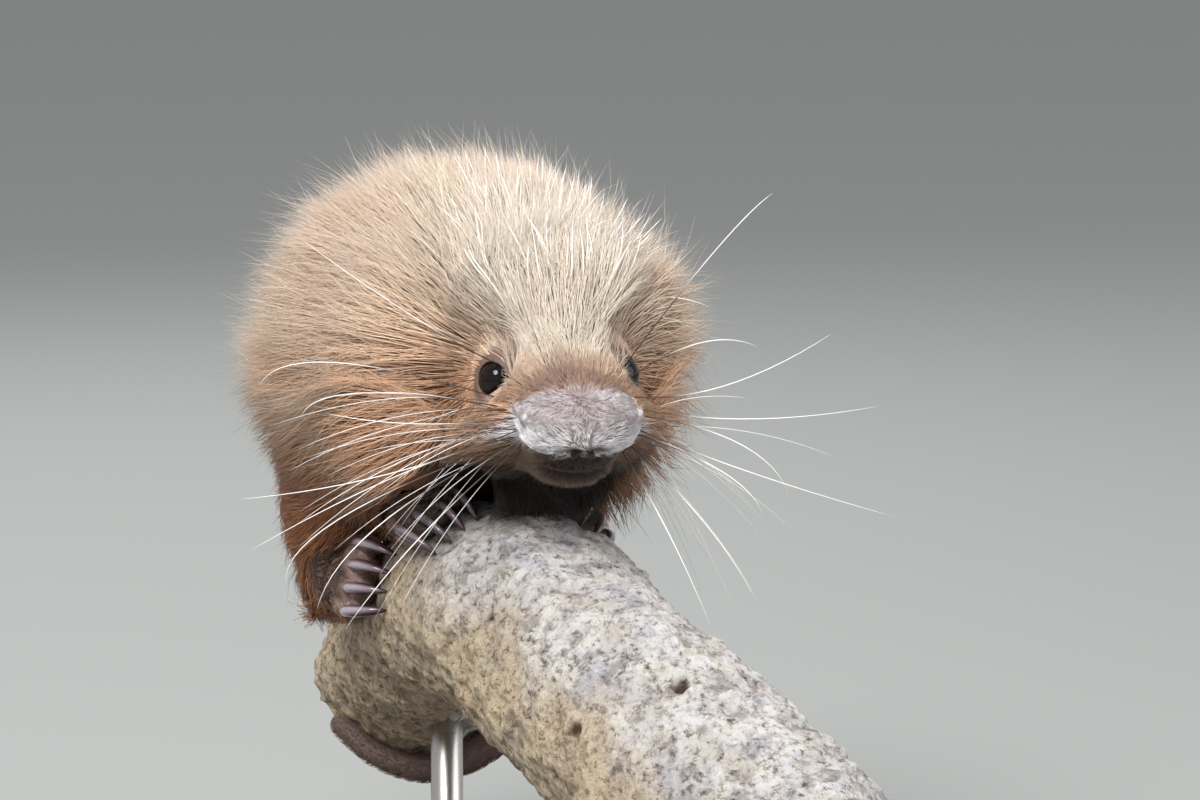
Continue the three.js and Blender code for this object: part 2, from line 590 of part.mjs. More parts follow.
const headForm = form(headCentre, COAT.form, 6);
const headRoom = form(headCentre, 0, 6, GAP);
const earRooms = fuse(Object.values(SIDES).map(earRoom)).subtract(form(headCentre, 0, 6));
const hollows = fuse([...eyes.flatMap((eye) => [eye.socket, eye.opening]), ...nostrils, jawRoom]);
const head = fuse([headForm, muzzle, coatOf(0, PARTS.head)]).intersect(headRegion)
  .add(fuse(eyes.map((eye) => eye.lids))).subtract(earRooms).subtract(hollows).subtract(limbRoom);
add('head', head, FUR, 0.9);
add('lower_jaw', jaw, SKIN, 0.7);
for (const [side, sign] of Object.entries(SIDES)) {
  add('ear_' + side, earSolid(sign).subtract(headRoom), SKIN, 0.7);
}

const bodyForm = form(bodyCentre, COAT.form, 5);
const dressed = (from, to) => bodyForm.add(coatOf(from, to)).subtract(limbRoom).subtract(earRooms);
add('neck', dressed(PARTS.head, PARTS.neck).intersect(neckRegion).subtract(headKeep), FUR, 0.9);
add('torso', dressed(PARTS.neck, PARTS.torso).intersect(torsoRegion).subtract(neckKeep), FUR, 0.9);
add('rump', dressed(PARTS.torso, 1000).subtract(torsoKeep), FUR, 0.9);

const tail = tailSolid().subtract(bodyRoom).subtract(keepOff).subtract(fuse(TAIL.cuts.map(tailCut)));
const lengths = tail.decompose().sort((a, b) => b.volume() - a.volume());
['tail_base', 'tail_middle', 'tail_tip'].forEach((name, i) => add(name, lengths[i], FUR, 0.85));

const group = new THREE.Group();
group.add(...nodes);
export default group;
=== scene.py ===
import math
from collections import namedtuple

import bpy
import numpy as np
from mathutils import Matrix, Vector, kdtree


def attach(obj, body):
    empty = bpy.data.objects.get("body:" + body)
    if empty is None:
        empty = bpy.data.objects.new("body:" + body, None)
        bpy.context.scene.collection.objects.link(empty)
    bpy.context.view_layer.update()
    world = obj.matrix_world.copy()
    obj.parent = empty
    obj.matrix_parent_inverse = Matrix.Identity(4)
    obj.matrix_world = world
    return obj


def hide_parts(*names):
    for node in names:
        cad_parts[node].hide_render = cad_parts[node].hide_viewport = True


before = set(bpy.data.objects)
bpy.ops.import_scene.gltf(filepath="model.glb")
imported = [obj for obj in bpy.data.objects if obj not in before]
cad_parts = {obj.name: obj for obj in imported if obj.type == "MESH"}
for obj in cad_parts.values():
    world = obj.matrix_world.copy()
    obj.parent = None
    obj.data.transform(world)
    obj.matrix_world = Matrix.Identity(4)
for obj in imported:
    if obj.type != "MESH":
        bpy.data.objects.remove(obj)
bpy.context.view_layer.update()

# The animal faces -Y, its right side towards -X. Shapes are worked out in millimetres and made in metres
MM = 0.001

# Branch: an arched length of round wood, sawn at both ends
BRANCH = {"radius": 25, "front": -126, "rear": 100, "height": 92, "drop": 27.8, "drop_reach": 50,
          "bend": 18, "bend_reach": 60, "arch": -5, "bend_at": -15, "taper": 0.0006}
TOP = BRANCH["height"] + BRANCH["radius"]

# Head: the tip of its nose, its turn to its right and its pitch down, then the face as placed from the nose
NOSE = np.array([-3.4, -55.0, TOP + 24.0])
HEAD = {"turn": math.radians(11), "pitch": math.radians(16), "length": 34}
MUZZLE = {"wide": 12.6, "high": 6.5, "deep": 9.3, "up": 2.3, "square": 2.6}
LIPS = {"back": 3.0, "down": 4.0, "half": (10.5, 8.6, 6.0)}
JAW = {"back": 7.5, "down": 8.2, "half": (9.2, 10.5, 5.0)}
MOUTH = {"forward": -2.0, "down": 7.6, "half": (9.0, 9.3, 0.4)}
NOSTRIL = {"forward": 7.6, "side": 2.4, "down": 2.6, "deep": 4.0, "radius": 1.6}
EYE = {"radius": 5.0, "back": 19.4, "out": 13.2, "up": 4.5, "long": 4.3, "open": 3.8, "lid": 0.7,
       "bulge": 0.7}
# The ways that the eyes and the ears look: forward, sideways and up
EYE_LOOK = (0.55, 0.78, 0.30)
EAR = {"radius": 5.0, "narrow": 0.85, "tall": 1.15, "back": 36, "out": 19.5, "up": 9, "wall": 1.2,
       "depth": 6, "proud": 0.6, "sunk": 0.5, "hollow": 1.6}
EAR_LOOK = (0.42, 0.86, 0.30)

# Feet and legs, placed along the branch (y), round it from its top (turn) and above its bark
Limb = namedtuple("Limb", "name y turn root radius wrist size")
LIMBS = [
    Limb("fore_right", 7, -38, (-24, -8, 20), 8.5, 6, 1.0),
    Limb("fore_left", 13, 49, (24, -10, 20), 8.5, 6, 1.0),
    Limb("hind_right", 28, -76, (-23, 33, 20), 13.5, 7, 1.08),
    Limb("hind_left", 30, 72, (23, 34, 20), 13.5, 7, 1.08),
]
FOOT = {"long": 17, "wide": 13, "toes": 4, "toe_length": 9, "toe_radius": 2.7, "spread": 9.5}
CLAW = {"bend": 8.4, "rise": math.radians(15), "fall": math.radians(-76), "radius": 1.8, "point": 0.26,
        "taper": 2.6, "wide": 0.85, "high": 1.1, "groove": 0.22, "up": 6.1, "sunk": 1.6}

# Tail: out of the rump, down on to the branch, then round and under it
TAIL = {"root": 10.5, "tip": 2.6, "leave": ((1, 44, 24), (3, 60, 15), (6, 71, -2)), "wrap": (77, 90),
        "turn": (30, 232), "steps": 8}

# Coat: hair length at the face and on the body, its lean from upright, hang, ruff and thinning lower down
COAT = {"face": 2.0, "body": 25.0, "starts": 8.0, "ends": 30.0, "face_lean": math.radians(66),
        "body_lean": math.radians(42), "sweep": 0.35, "stands": 0.92, "ruff": 0.34, "low": 0.72}

# Camera: the way it looks at the nose, how far it stands off and what it aims at beside the nose
CAMERA = {"azimuth": math.radians(-25), "elevation": math.radians(8), "distance": 1100.0,
          "aim": (5.2, 6.75), "width": 270.0, "sensor": 36.0}


def mix(a, b, t):
    return a + (b - a) * t


def smooth(low, high, value):
    t = np.clip((value - low) / (high - low), 0, 1)
    return t * t * (3 - 2 * t)


def unit(v):
    return v / np.maximum(np.linalg.norm(v, axis=-1, keepdims=True), 1e-9)


# Smooth random values from -1 to 1 that change over about size millimetres
LATTICE = np.random.default_rng(7).random((32, 32, 32))


def noise(points, size):
    q = np.asarray(points, float) / size
    base = np.floor(q).astype(int)
    part = q - base
    part = part * part * (3 - 2 * part)
    value = 0
    for corner in np.ndindex(2, 2, 2):
        share = np.prod(np.where(corner, part, 1 - part), axis=-1)
        value = value + share * LATTICE[tuple(((base + corner) % 32).T)]
    return 2 * value - 1


# Camera and head directions
def camera_axes():
    a, e = CAMERA["azimuth"], CAMERA["elevation"]
    back = np.array([math.sin(a) * math.cos(e), -math.cos(a) * math.cos(e), math.sin(e)])
    right = np.array([math.cos(a), math.sin(a), 0.0])
    return right, np.cross(back, right), back


CAM_RIGHT, CAM_UP, CAM_BACK = camera_axes()


def seen_at(right, up, nearer):
    """The point that the camera sees so far right of the nose and above it, and so much nearer"""
    return NOSE + CAM_RIGHT * right + CAM_UP * up + CAM_BACK * nearer


def head_axes():
    turn, pitch = HEAD["turn"], HEAD["pitch"]
    level = math.cos(pitch)
    forward = np.array([-math.sin(turn) * level, -math.cos(turn) * level, -math.sin(pitch)])
    right = unit(np.cross(forward, (0, 0, 1)))
    return right, forward, np.cross(right, forward)


RIGHT, FORWARD, UP = head_axes()
HEAD_AXES = np.array([RIGHT, FORWARD, UP])
SIDES = {"right": 1, "left": -1}


def on_head(forward, right, up):
    return NOSE + FORWARD * forward + RIGHT * right + UP * up


def in_head(points):
    """Right, forward and up from the nose"""
    return (points - NOSE) @ HEAD_AXES.T


def from_nose(points):
    return np.linalg.norm(points - NOSE, axis=1)


EYES = {side: on_head(-EYE["back"], sign * EYE["out"], EYE["up"]) for side, sign in SIDES.items()}
EARS = {side: on_head(-EAR["back"], sign * EAR["out"], EAR["up"]) for side, sign in SIDES.items()}


def look_axes(sign, look):
    """Along, across and outward for a part of the head that looks forward, sideways and up by look"""
    out = unit(FORWARD * look[0] + RIGHT * sign * look[1] + UP * look[2])
    along = unit(np.cross(out, UP))
    return np.array([along, np.cross(out, along), out])


# Branch
def hyp(t):
    return np.sqrt(1 + t * t)


def branch_line(y):
    y = np.asarray(y, float)
    x = BRANCH["bend"] * (hyp((y - BRANCH["bend_at"]) / BRANCH["bend_reach"]) - 1)
    z = BRANCH["height"] - BRANCH["drop"] * (hyp((y - BRANCH["arch"]) / BRANCH["drop_reach"]) - 1)
    return np.stack([x, y, z], -1)


def branch_radius(y, angle):
    swell = (0.020 * np.sin(3 * angle + y / 15) + 0.014 * np.sin(5 * angle - y / 9 + 1)
             + 0.018 * np.sin(y / 21 + 2) + 0.012 * np.sin(2 * angle + y / 6))
    return BRANCH["radius"] * (1 - BRANCH["taper"] * y) * (1 + swell)


def branch_frame(y):
    """Ahead, sideways and up across the branch at y"""
    ahead = unit(branch_line(y + 0.5) - branch_line(y - 0.5))
    side = unit(np.cross(ahead, (0.0, 0.0, 1.0)))
    return ahead, side, np.cross(side, ahead)


def on_branch(y, turn, height):
    """The point at y, turned round the branch from its top towards +X, and height above the bark"""
    y, turn, height = np.broadcast_arrays(np.asarray(y, float), turn, height)
    _, side, up = branch_frame(y)
    angle = np.radians(turn)
    reach = (branch_radius(y, angle) + height)[..., None]
    return branch_line(y) + up * reach * np.cos(angle)[..., None] + side * reach * np.sin(angle)[..., None]


def above_bark(points):
    """Height above the bark and the way out from the branch's line"""
    _, side, up = branch_frame(points[:, 1])
    from_line = points - branch_line(points[:, 1])
    across, rise = (from_line * side).sum(1), (from_line * up).sum(1)
    reach = np.hypot(across, rise)
    away = unit(side * across[:, None] + up * rise[:, None])
    return reach - branch_radius(points[:, 1], np.arctan2(across, rise)), away


# Forms: soft masses that melt into one skin, and hollows cut from it, each measured only near its reach
Form = namedtuple("Form", "measure centre reach blend carve")
FAR = 60.0
MARGIN = 14.0


def blob(centre, half, axes=np.eye(3), power=2.0, blend=5.0, carve=False):
    """An ellipsoid, or with a higher power a squarer one"""
    centre, half = np.asarray(centre, float), np.asarray(half, float)

    def measure(points):
        q = np.abs((points - centre) @ axes.T) / half
        norm = np.maximum((q ** power).sum(-1) ** (1 / power), 1e-6)
        slope = np.linalg.norm(q ** (power - 1) / half, axis=-1) / norm ** (power - 1)
        return (norm - 1) / np.maximum(slope, 1e-6)

    return Form(measure, centre, half.max(), blend, carve)


def tube(points, radii, blend=3.0, carve=False):
    """A round-ended tube through the points"""
    points, radii = np.asarray(points, float), np.asarray(radii, float)

    def measure(at):
        nearest = np.full(len(at), FAR)
        for a, b, radius_a, radius_b in zip(points, points[1:], radii, radii[1:]):
            along = b - a
            t = np.clip((at - a) @ along / (along @ along), 0, 1)
            gap = np.linalg.norm(at - a - t[:, None] * along, axis=1) - mix(radius_a, radius_b, t)
            nearest = np.minimum(nearest, gap)
        return nearest

    centre = (points.min(0) + points.max(0)) / 2
    reach = np.linalg.norm(points - centre, axis=1).max() + radii.max()
    return Form(measure, centre, reach, blend, carve)


def melt(a, b, blend):
    h = np.clip(0.5 + 0.5 * (b - a) / blend, 0, 1)
    return mix(b, a, h) - blend * h * (1 - h)


def joined(field, form, own):
    return -melt(-field, own, form.blend) if form.carve else melt(field, own, form.blend)


def distance(points, forms):
    """Distance outside the skin that the forms make, or FAR where none is near"""
    field = np.full(len(points), FAR)
    for form in forms:
        near = np.linalg.norm(points - form.centre, axis=1) < form.reach + MARGIN
        if near.any():
            field[near] = joined(field[near], form, form.measure(points[near]))
    return field


TETRA = np.array([[1, -1, -1], [-1, -1, 1], [-1, 1, -1], [1, 1, 1]])


def slope(points, forms, step=0.3):
    total = 0
    for corner in TETRA:
        total = total + distance(points + corner * step, forms)[:, None] * corner
    return total / (4 * step)


def onto(points, forms, times=1):
    for _ in range(times):
        grade = slope(points, forms)
        size = np.maximum((grade ** 2).sum(1), 0.05)
        points = points - grade * (np.clip(distance(points, forms), -2, 2) / size)[:, None]
    return points


# Body masses: place across, along and up, then half sizes. Haunch and shoulder are paired
BARREL = (0, 14, TOP + 35)
BARREL_HALF = (34, 38, 30)
RUMP = ((1, 31, TOP + 32), (33, 27, 30))
CHEST = ((0, -3, TOP + 30), (28, 24, 26))
HAUNCH = ((23, 32, TOP + 14), (13, 18, 19))
SHOULDER = ((21, -5, TOP + 17), (10, 12, 14))

# Head masses: place forward, to the side and up from the nose, then half sizes
SKULL = ((-HEAD["length"], 0, 1), (20.5, 24, 18.5))
CHEEK = ((-19, 10, -4), (9.5, 13, 10))
SNOUT = ((-14, 0, 2.4), (12.2, 15, 8.8))


def masses():
    """The solids' own masses, with the nose bulb 1 mm narrower on each side"""
    made = [blob(BARREL, BARREL_HALF), blob(*RUMP), blob(*CHEST)]
    for sign in SIDES.values():
        made += [blob(centre * np.array((sign, 1, 1)), half) for centre, half in (HAUNCH, SHOULDER)]
    made.append(blob(on_head(*SKULL[0]), SKULL[1], HEAD_AXES))
    for sign in SIDES.values():
        made.append(blob(on_head(CHEEK[0][0], sign * CHEEK[0][1], CHEEK[0][2]), CHEEK[1], HEAD_AXES))
    made.append(blob(on_head(*SNOUT[0]), SNOUT[1], HEAD_AXES))
    made.append(blob(on_head(-LIPS["back"], 0, -LIPS["down"]), LIPS["half"], HEAD_AXES, blend=3.0))
    bulb = (MUZZLE["wide"], MUZZLE["deep"], MUZZLE["high"])
    made.append(blob(on_head(0, 0, MUZZLE["up"]), bulb, HEAD_AXES, MUZZLE["square"], blend=2.5))
    return made


# Limbs
def toe_line(limb, index):
    """Points of one toe, from under the foot to its end"""
    across = (index - (FOOT["toes"] - 1) / 2) * limb.size
    reach = (FOOT["toe_length"] - 1.1 * abs(across)) * limb.size
    turn = limb.turn + math.copysign(1, limb.turn) * across * FOOT["spread"]
    knuckle = limb.y - 4 * limb.size
    t = np.linspace(0, 1, 7)
    points = on_branch(knuckle + 5 - (reach + 5) * t, mix(limb.turn, turn, 0.55 + 0.45 * t),
                       3.9 + 1.7 * np.sin(np.pi * t * 0.8))
    return points, turn, knuckle - reach


def foot_forms(limb):
    half = FOOT["long"] / 2 * limb.size
    t = np.linspace(0, 1, 5)
    sole = on_branch(limb.y + half - 2 * half * t, limb.turn, 5.4 - 2.2 * t)
    made = [tube(sole, FOOT["wide"] / 2 * limb.size * mix(0.85, 0.96, t), 2.5)]
    for index in range(FOOT["toes"]):
        points, _, _ = toe_line(limb, index)
        along = np.linspace(0, 1, len(points))
        knobs = 1 + 0.10 * np.cos(along * 4 * np.pi)
        made.append(tube(points, FOOT["toe_radius"] * limb.size * mix(1, 0.8, along) * knobs, 1.3))
    return made


def leg_form(limb):
    root = np.array(limb.root) + (0, 0, TOP)
    ankle = on_branch(limb.y + FOOT["long"] * 0.3 * limb.size, limb.turn, limb.wrist)
    knee = mix(root, ankle, 0.5) + (math.copysign(5, limb.turn), 2, 2)
    t = np.linspace(0, 1, 8)[:, None]
    line = (1 - t) ** 2 * root + 2 * t * (1 - t) * knee + t ** 2 * ankle
    return tube(line, mix(limb.radius, 5.2 * limb.size, t[:, 0] ** 0.8), 4)


def tail_points():
    """The tail's line, and its half-thickness there"""
    wrap = np.linspace(0, 1, TAIL["steps"] + 1)
    radius = mix(TAIL["root"], TAIL["tip"], mix(0.34, 1, wrap) ** 0.75)
    turns = on_branch(mix(*TAIL["wrap"], wrap), mix(*TAIL["turn"], wrap), radius + 0.3)
    knots = np.concatenate([np.array(TAIL["leave"]) + (0, 0, TOP), turns])
    line = spline(knots, 44)
    along = np.concatenate([[0], np.cumsum(np.linalg.norm(np.diff(line, axis=0), axis=1))])
    return line, mix(TAIL["root"], TAIL["tip"], (along / along[-1]) ** 0.75)


def spline(knots, count):
    """A smooth line through the knots"""
    padded = np.concatenate([[2 * knots[0] - knots[1]], knots, [2 * knots[-1] - knots[-2]]])
    places = np.linspace(0, len(knots) - 1.0001, count)
    base = places.astype(int)
    t = (places - base)[:, None]
    a, b, c, d = (padded[base + i] for i in range(4))
    square, cube = 2 * a - 5 * b + 4 * c - d, 3 * b - a - 3 * c + d
    return 0.5 * (2 * b + (c - a) * t + square * t ** 2 + cube * t ** 3)


TAIL_LINE, TAIL_RADIUS = tail_points()


# Face: lids and jaw, then the hollows of the eyes, the mouth and the nostrils
def lids():
    lid = EYE["radius"] + EYE["lid"]
    return [blob(EYES[side], (lid, lid, lid), blend=2.2) for side in SIDES]


def jaw():
    return blob(on_head(-JAW["back"], 0, -JAW["down"]), JAW["half"], HEAD_AXES, blend=2.5)


NOSTRILS = [on_head(NOSTRIL["forward"], sign * NOSTRIL["side"], -NOSTRIL["down"]) for sign in SIDES.values()]
SOCKET_GAP = 0.12
EYE_CORNER = {"along": 3.7, "down": 0.8, "half": (2.4, 1.0, 2.2)}
CLEFT = {"forward": 8.2, "down": 4.6, "half": (0.6, 2.6, 2.6)}


def face_hollows():
    """The eye sockets with the lids' openings and inner corners, the mouth, the cleft lip, the nostrils"""
    made = []
    for side, sign in SIDES.items():
        axes = look_axes(sign, EYE_LOOK)
        front = EYES[side] + axes[2] * EYE["radius"]
        made.append(blob(EYES[side], [EYE["radius"] + SOCKET_GAP] * 3, blend=0.3, carve=True))
        made.append(blob(front, (EYE["long"], EYE["open"], 3.2), axes, blend=0.8, carve=True))
        corner = front - axes[0] * sign * EYE_CORNER["along"] - axes[1] * EYE_CORNER["down"]
        made.append(blob(corner, EYE_CORNER["half"], axes, blend=0.7, carve=True))
    for slit, blend in ((MOUTH, 0.8), (CLEFT, 1.4)):
        middle = on_head(slit["forward"], 0, -slit["down"])
        made.append(blob(middle, slit["half"], HEAD_AXES, blend=blend, carve=True))
    for sign, start in zip(SIDES.values(), NOSTRILS):
        end = start - FORWARD * NOSTRIL["deep"] + RIGHT * sign * 1.8 + UP * 0.8
        made.append(tube([start, end], [NOSTRIL["radius"], 0.8], 0.9, carve=True))
    return made


def ears(hollow):
    """The ears' cups, or the hollows in them"""
    made = []
    for side, sign in SIDES.items():
        axes = look_axes(sign, EAR_LOOK)
        rim = EARS[side] + axes[2] * EAR["proud"]
        half = np.array((EAR["radius"] * EAR["narrow"], EAR["radius"] * EAR["tall"], EAR["depth"]))
        if hollow:
            made.append(blob(rim + axes[2] * EAR["hollow"], half - EAR["wall"], axes, blend=0.8, carve=True))
        else:
            made.append(blob(rim - axes[2] * EAR["sunk"], half, axes, blend=1.2))
    return made


BARK_GAP = 0.12


def branch_room():
    """The branch, cut from under the feet and the tail"""
    middle = branch_line(0)
    return Form(lambda points: above_bark(points)[0] - BARK_GAP, middle, 300.0, 0.4, True)


LEGS = [leg_form(limb) for limb in LIMBS]
FEET = [form for limb in LIMBS for form in foot_forms(limb)]
TAIL_FORM = tube(TAIL_LINE, TAIL_RADIUS, 5)
COMBED = masses() + LEGS + [TAIL_FORM] + FEET + [jaw()] + lids()
HAIRY = COMBED + ears(hollow=False)
WHOLE = HAIRY + face_hollows() + ears(hollow=True) + [branch_room()]


# Skin: the surface where the distance is nothing, found on a grid that is finer round the face
GRID = {"coarse": 1.2, "fine": 0.5}

# For each axis, the ends of the grid and then the ends of its finer part
GRID_SPANS = [(-48, 64, -27, 20), (-70, 116, -66, -27), (22, 190, TOP + 6, TOP + 40)]


def grid_line(low, high, fine_low, fine_high):
    coarse, fine = GRID["coarse"], GRID["fine"]
    before = np.linspace(low, fine_low, max(2, round((fine_low - low) / coarse)), endpoint=False)
    middle = np.linspace(fine_low, fine_high, round((fine_high - fine_low) / fine), endpoint=False)
    after = np.linspace(fine_high, high, max(2, round((high - fine_high) / coarse)))
    return np.concatenate([before, middle, after])


def sampled(lines, forms):
    field = np.full([len(line) for line in lines], FAR, np.float32)
    for form in forms:
        reach = form.reach + MARGIN
        spans = [np.searchsorted(line, (c - reach, c + reach)) for line, c in zip(lines, form.centre)]
        block = tuple(slice(*span) for span in spans)
        if field[block].size:
            places = np.meshgrid(*[line[part] for line, part in zip(lines, block)], indexing="ij")
            own = form.measure(np.stack(places, -1).reshape(-1, 3)).reshape(field[block].shape)
            field[block] = joined(field[block], form, own)
    return field


def net(lines, field):
    """Points and four-cornered faces of the surface where the field changes sign"""
    inside = field < 0
    corners = np.array(list(np.ndindex(2, 2, 2)))
    edges = [(a, b) for a in range(8) for b in range(a + 1, 8) if abs(corners[a] - corners[b]).sum() == 1]
    filled = sum(inside[tuple(slice(c, n - 1 + c) for c, n in zip(corner, inside.shape))].astype(np.int8)
                 for corner in corners)
    cells = np.argwhere((filled > 0) & (filled < 8))
    number = np.full(filled.shape, -1)
    number[tuple(cells.T)] = np.arange(len(cells))
    values = np.stack([field[tuple((cells + corner).T)] for corner in corners], 1)
    total, hits = 0, 0
    for a, b in edges:
        cut = (values[:, a] < 0) != (values[:, b] < 0)
        t = np.where(cut, values[:, a] / np.where(cut, values[:, a] - values[:, b], 1), 0)
        total = total + (corners[a] + t[:, None] * (corners[b] - corners[a])) * cut[:, None]
        hits = hits + cut
    low = np.stack([line[cells[:, k]] for k, line in enumerate(lines)], 1)
    high = np.stack([line[cells[:, k] + 1] for k, line in enumerate(lines)], 1)
    points = low + (high - low) * total / hits[:, None]
    faces = []
    for k in range(3):
        first, second = np.moveaxis(inside, k, 0)[:-1], np.moveaxis(inside, k, 0)[1:]
        found = np.moveaxis(first != second, 0, k)
        at = np.argwhere(found)
        step_i, step_j = np.eye(3, dtype=int)[(k + 1) % 3], np.eye(3, dtype=int)[(k + 2) % 3]
        ring = np.stack([number[tuple((at - shift).T)] for shift in (0, step_i, step_i + step_j, step_j)], 1)
        leaving = inside[tuple(at.T)]
        faces.append(np.where(leaving[:, None], ring, ring[:, ::-1]))
    return points, np.concatenate(faces)


def skin_surface():
    lines = [grid_line(*span) for span in GRID_SPANS]
    points, faces = net(lines, sampled(lines, WHOLE))
    return onto(points, WHOLE, 2), faces


# Making pieces
def new_mesh(name, points, faces, finish):
    mesh = bpy.data.meshes.new(name)
    mesh.vertices.add(len(points))
    mesh.vertices.foreach_set("co", (np.asarray(points) * MM).astype(np.float32).ravel())
    mesh.loops.add(faces.size)
    mesh.loops.foreach_set("vertex_index", faces.astype(np.int32).ravel())
    mesh.polygons.add(len(faces))
    mesh.polygons.foreach_set("loop_start", np.arange(0, faces.size, faces.shape[1], dtype=np.int32))
    mesh.polygons.foreach_set("use_smooth", np.ones(len(faces), bool))
    mesh.update(calc_edges=True)
    mesh.materials.append(finish)
    return mesh


def tint(mesh, colours):
    """Gives every point its own colour"""
    layer = mesh.color_attributes.new("Tone", "FLOAT_COLOR", "POINT")
    rgba = np.concatenate([colours, np.ones((len(colours), 1))], 1)
    layer.data.foreach_set("color", rgba.astype(np.float32).ravel())


def measure_points(mesh, name, values):
    """Gives every point a number that a material can read"""
    mesh.attributes.new(name, "FLOAT", "POINT").data.foreach_set("value", np.asarray(values, np.float32))


def round_angles(count):
    return np.linspace(0, 2 * np.pi, count, endpoint=False)


def band(rings):
    """Triangles between each ring of point numbers and the next"""
    nexts = np.roll(rings, -1, 1)
    sides = np.stack([rings[:-1], nexts[:-1], nexts[1:], rings[1:]], -1).reshape(-1, 4)
    return [sides[:, (0, 1, 2)], sides[:, (0, 2, 3)]]


def fan(ring, middle):
    """Triangles from a ring of point numbers to its middle one"""
    return np.stack([ring, np.roll(ring, -1), np.full(len(ring), middle)], 1)


def in_scene(name, data):
    made = bpy.data.objects.new(name, data)
    bpy.context.scene.collection.objects.link(made)
    return made


def place(mesh, slot, replaced=()):
    """A finished piece under the root, hiding the CAD nodes that it replaces; slot is not used"""
    piece = in_scene(mesh.name, mesh)
    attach(piece, "root")
    if replaced:
        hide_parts(*replaced)
    return piece


# Finishes
def finish(name, colour=(0.5, 0.5, 0.5), **settings):
    """A material whose shader has these settings, its nodes and its shader"""
    made = bpy.data.materials.new(name)
    made.use_nodes = True
    shader = made.node_tree.nodes["Principled BSDF"]
    shader.inputs["Base Color"].default_value = (*colour, 1)
    for socket, value in settings.items():
        shader.inputs[socket.replace("_", " ")].default_value = value
    return made, made.node_tree, shader


def add_node(tree, kind, **inputs):
    node = tree.nodes.new(kind)
    for socket, value in inputs.items():
        node.inputs[socket.replace("_", " ")].default_value = value
    return node


def object_place(tree, scale=(1, 1, 1)):
    """Object coordinates, stretched by scale"""
    source = tree.nodes.new("ShaderNodeTexCoord")
    mapping = add_node(tree, "ShaderNodeMapping", Scale=scale)
    tree.links.new(source.outputs["Object"], mapping.inputs["Vector"])
    return mapping.outputs["Vector"]


def mottle(tree, where, scale, detail=4.0, roughness=0.6):
    node = add_node(tree, "ShaderNodeTexNoise", Scale=scale, Detail=detail, Roughness=roughness)
    tree.links.new(where, node.inputs["Vector"])
    return node.outputs["Fac"]


def ramp(tree, value, stops):
    """A colour for each value; stops are (value, colour)"""
    node = tree.nodes.new("ShaderNodeValToRGB")
    elements = node.color_ramp.elements
    while len(elements) < len(stops):
        elements.new(0.5)
    for element, (at, colour) in zip(elements, stops):
        element.position = at
        element.color = (*colour, 1)
    tree.links.new(value, node.inputs["Fac"])
    return node.outputs["Color"]


def blend_colour(tree, share, first, second, mode="MIX"):
    node = tree.nodes.new("ShaderNodeMix")
    node.data_type = "RGBA"
    node.blend_type = mode
    for value, socket in ((share, 0), (first, 6), (second, 7)):
        if isinstance(value, (int, float)):
            node.inputs[socket].default_value = value
        elif isinstance(value, tuple):
            node.inputs[socket].default_value = (*value, 1)
        else:
            tree.links.new(value, node.inputs[socket])
    return node.outputs[2]


def times(tree, first, second):
    return blend_colour(tree, 1.0, first, second, "MULTIPLY")


def paint(tree, colour, shader):
    tree.links.new(colour, shader.inputs["Base Color"])


def bump(tree, height, shader, strength, depth):
    node = add_node(tree, "ShaderNodeBump", Strength=strength, Distance=depth)
    tree.links.new(height, node.inputs["Height"])
    tree.links.new(node.outputs["Normal"], shader.inputs["Normal"])


def attribute(tree, name, output):
    node = tree.nodes.new("ShaderNodeAttribute")
    node.attribute_name = name
    return node.outputs[output]


WHITE = (1.0, 1.0, 1.0)


def hair_finish():
    made, tree, shader = finish("coat_hair", Roughness=0.55, Sheen_Weight=0.1, Sheen_Roughness=0.4,
                                Specular_IOR_Level=0.3)
    streaks = mottle(tree, object_place(tree), 900.0, 2.0)
    light = ramp(tree, streaks, [(0.3, (0.82, 0.82, 0.82)), (0.7, WHITE)])
    paint(tree, times(tree, attribute(tree, "Tone", "Color"), light), shader)
    return made


def skin_finish():
    made, tree, shader = finish("bare_skin", Roughness=0.6, Subsurface_Weight=0.1, Subsurface_Scale=0.002)
    where = object_place(tree)
    patches = ramp(tree, mottle(tree, where, 260.0), [(0.3, (0.86, 0.84, 0.84)), (0.7, WHITE)])
    paint(tree, times(tree, attribute(tree, "Tone", "Color"), patches), shader)
    pores = mottle(tree, where, 2200.0, 3.0)
    bump(tree, pores, shader, 0.5, 0.0004)
    return made


def eye_finish():
    made, tree, shader = finish("eye", Roughness=0.04, IOR=1.36)
    cloud = mottle(tree, object_place(tree), 300.0)
    paint(tree, ramp(tree, cloud, [(0.3, (0.002, 0.002, 0.003)), (0.7, (0.007, 0.004, 0.004))]), shader)
    return made


def claw_finish():
    made, tree, shader = finish("claw_horn", Roughness=0.22, Coat_Weight=0.6, Coat_Roughness=0.12)
    grain = mottle(tree, object_place(tree, (1, 0.15, 1)), 2500.0, 3.0)
    shade = ramp(tree, grain, [(0.3, (0.7, 0.7, 0.7)), (0.7, WHITE)])
    paint(tree, times(tree, attribute(tree, "Tone", "Color"), shade), shader)
    bump(tree, grain, shader, 0.25, 0.0002)
    return made


def whisker_finish():
    """Dark at the root and pale from the first third"""
    made, tree, shader = finish("whisker", Roughness=0.35)
    paint(tree, ramp(tree, attribute(tree, "reach", "Fac"), [
        (0.0, (0.05, 0.03, 0.025)), (0.25, (0.12, 0.08, 0.07)), (0.42, (0.85, 0.82, 0.78)),
        (1.0, (0.95, 0.93, 0.90))]), shader)
    return made


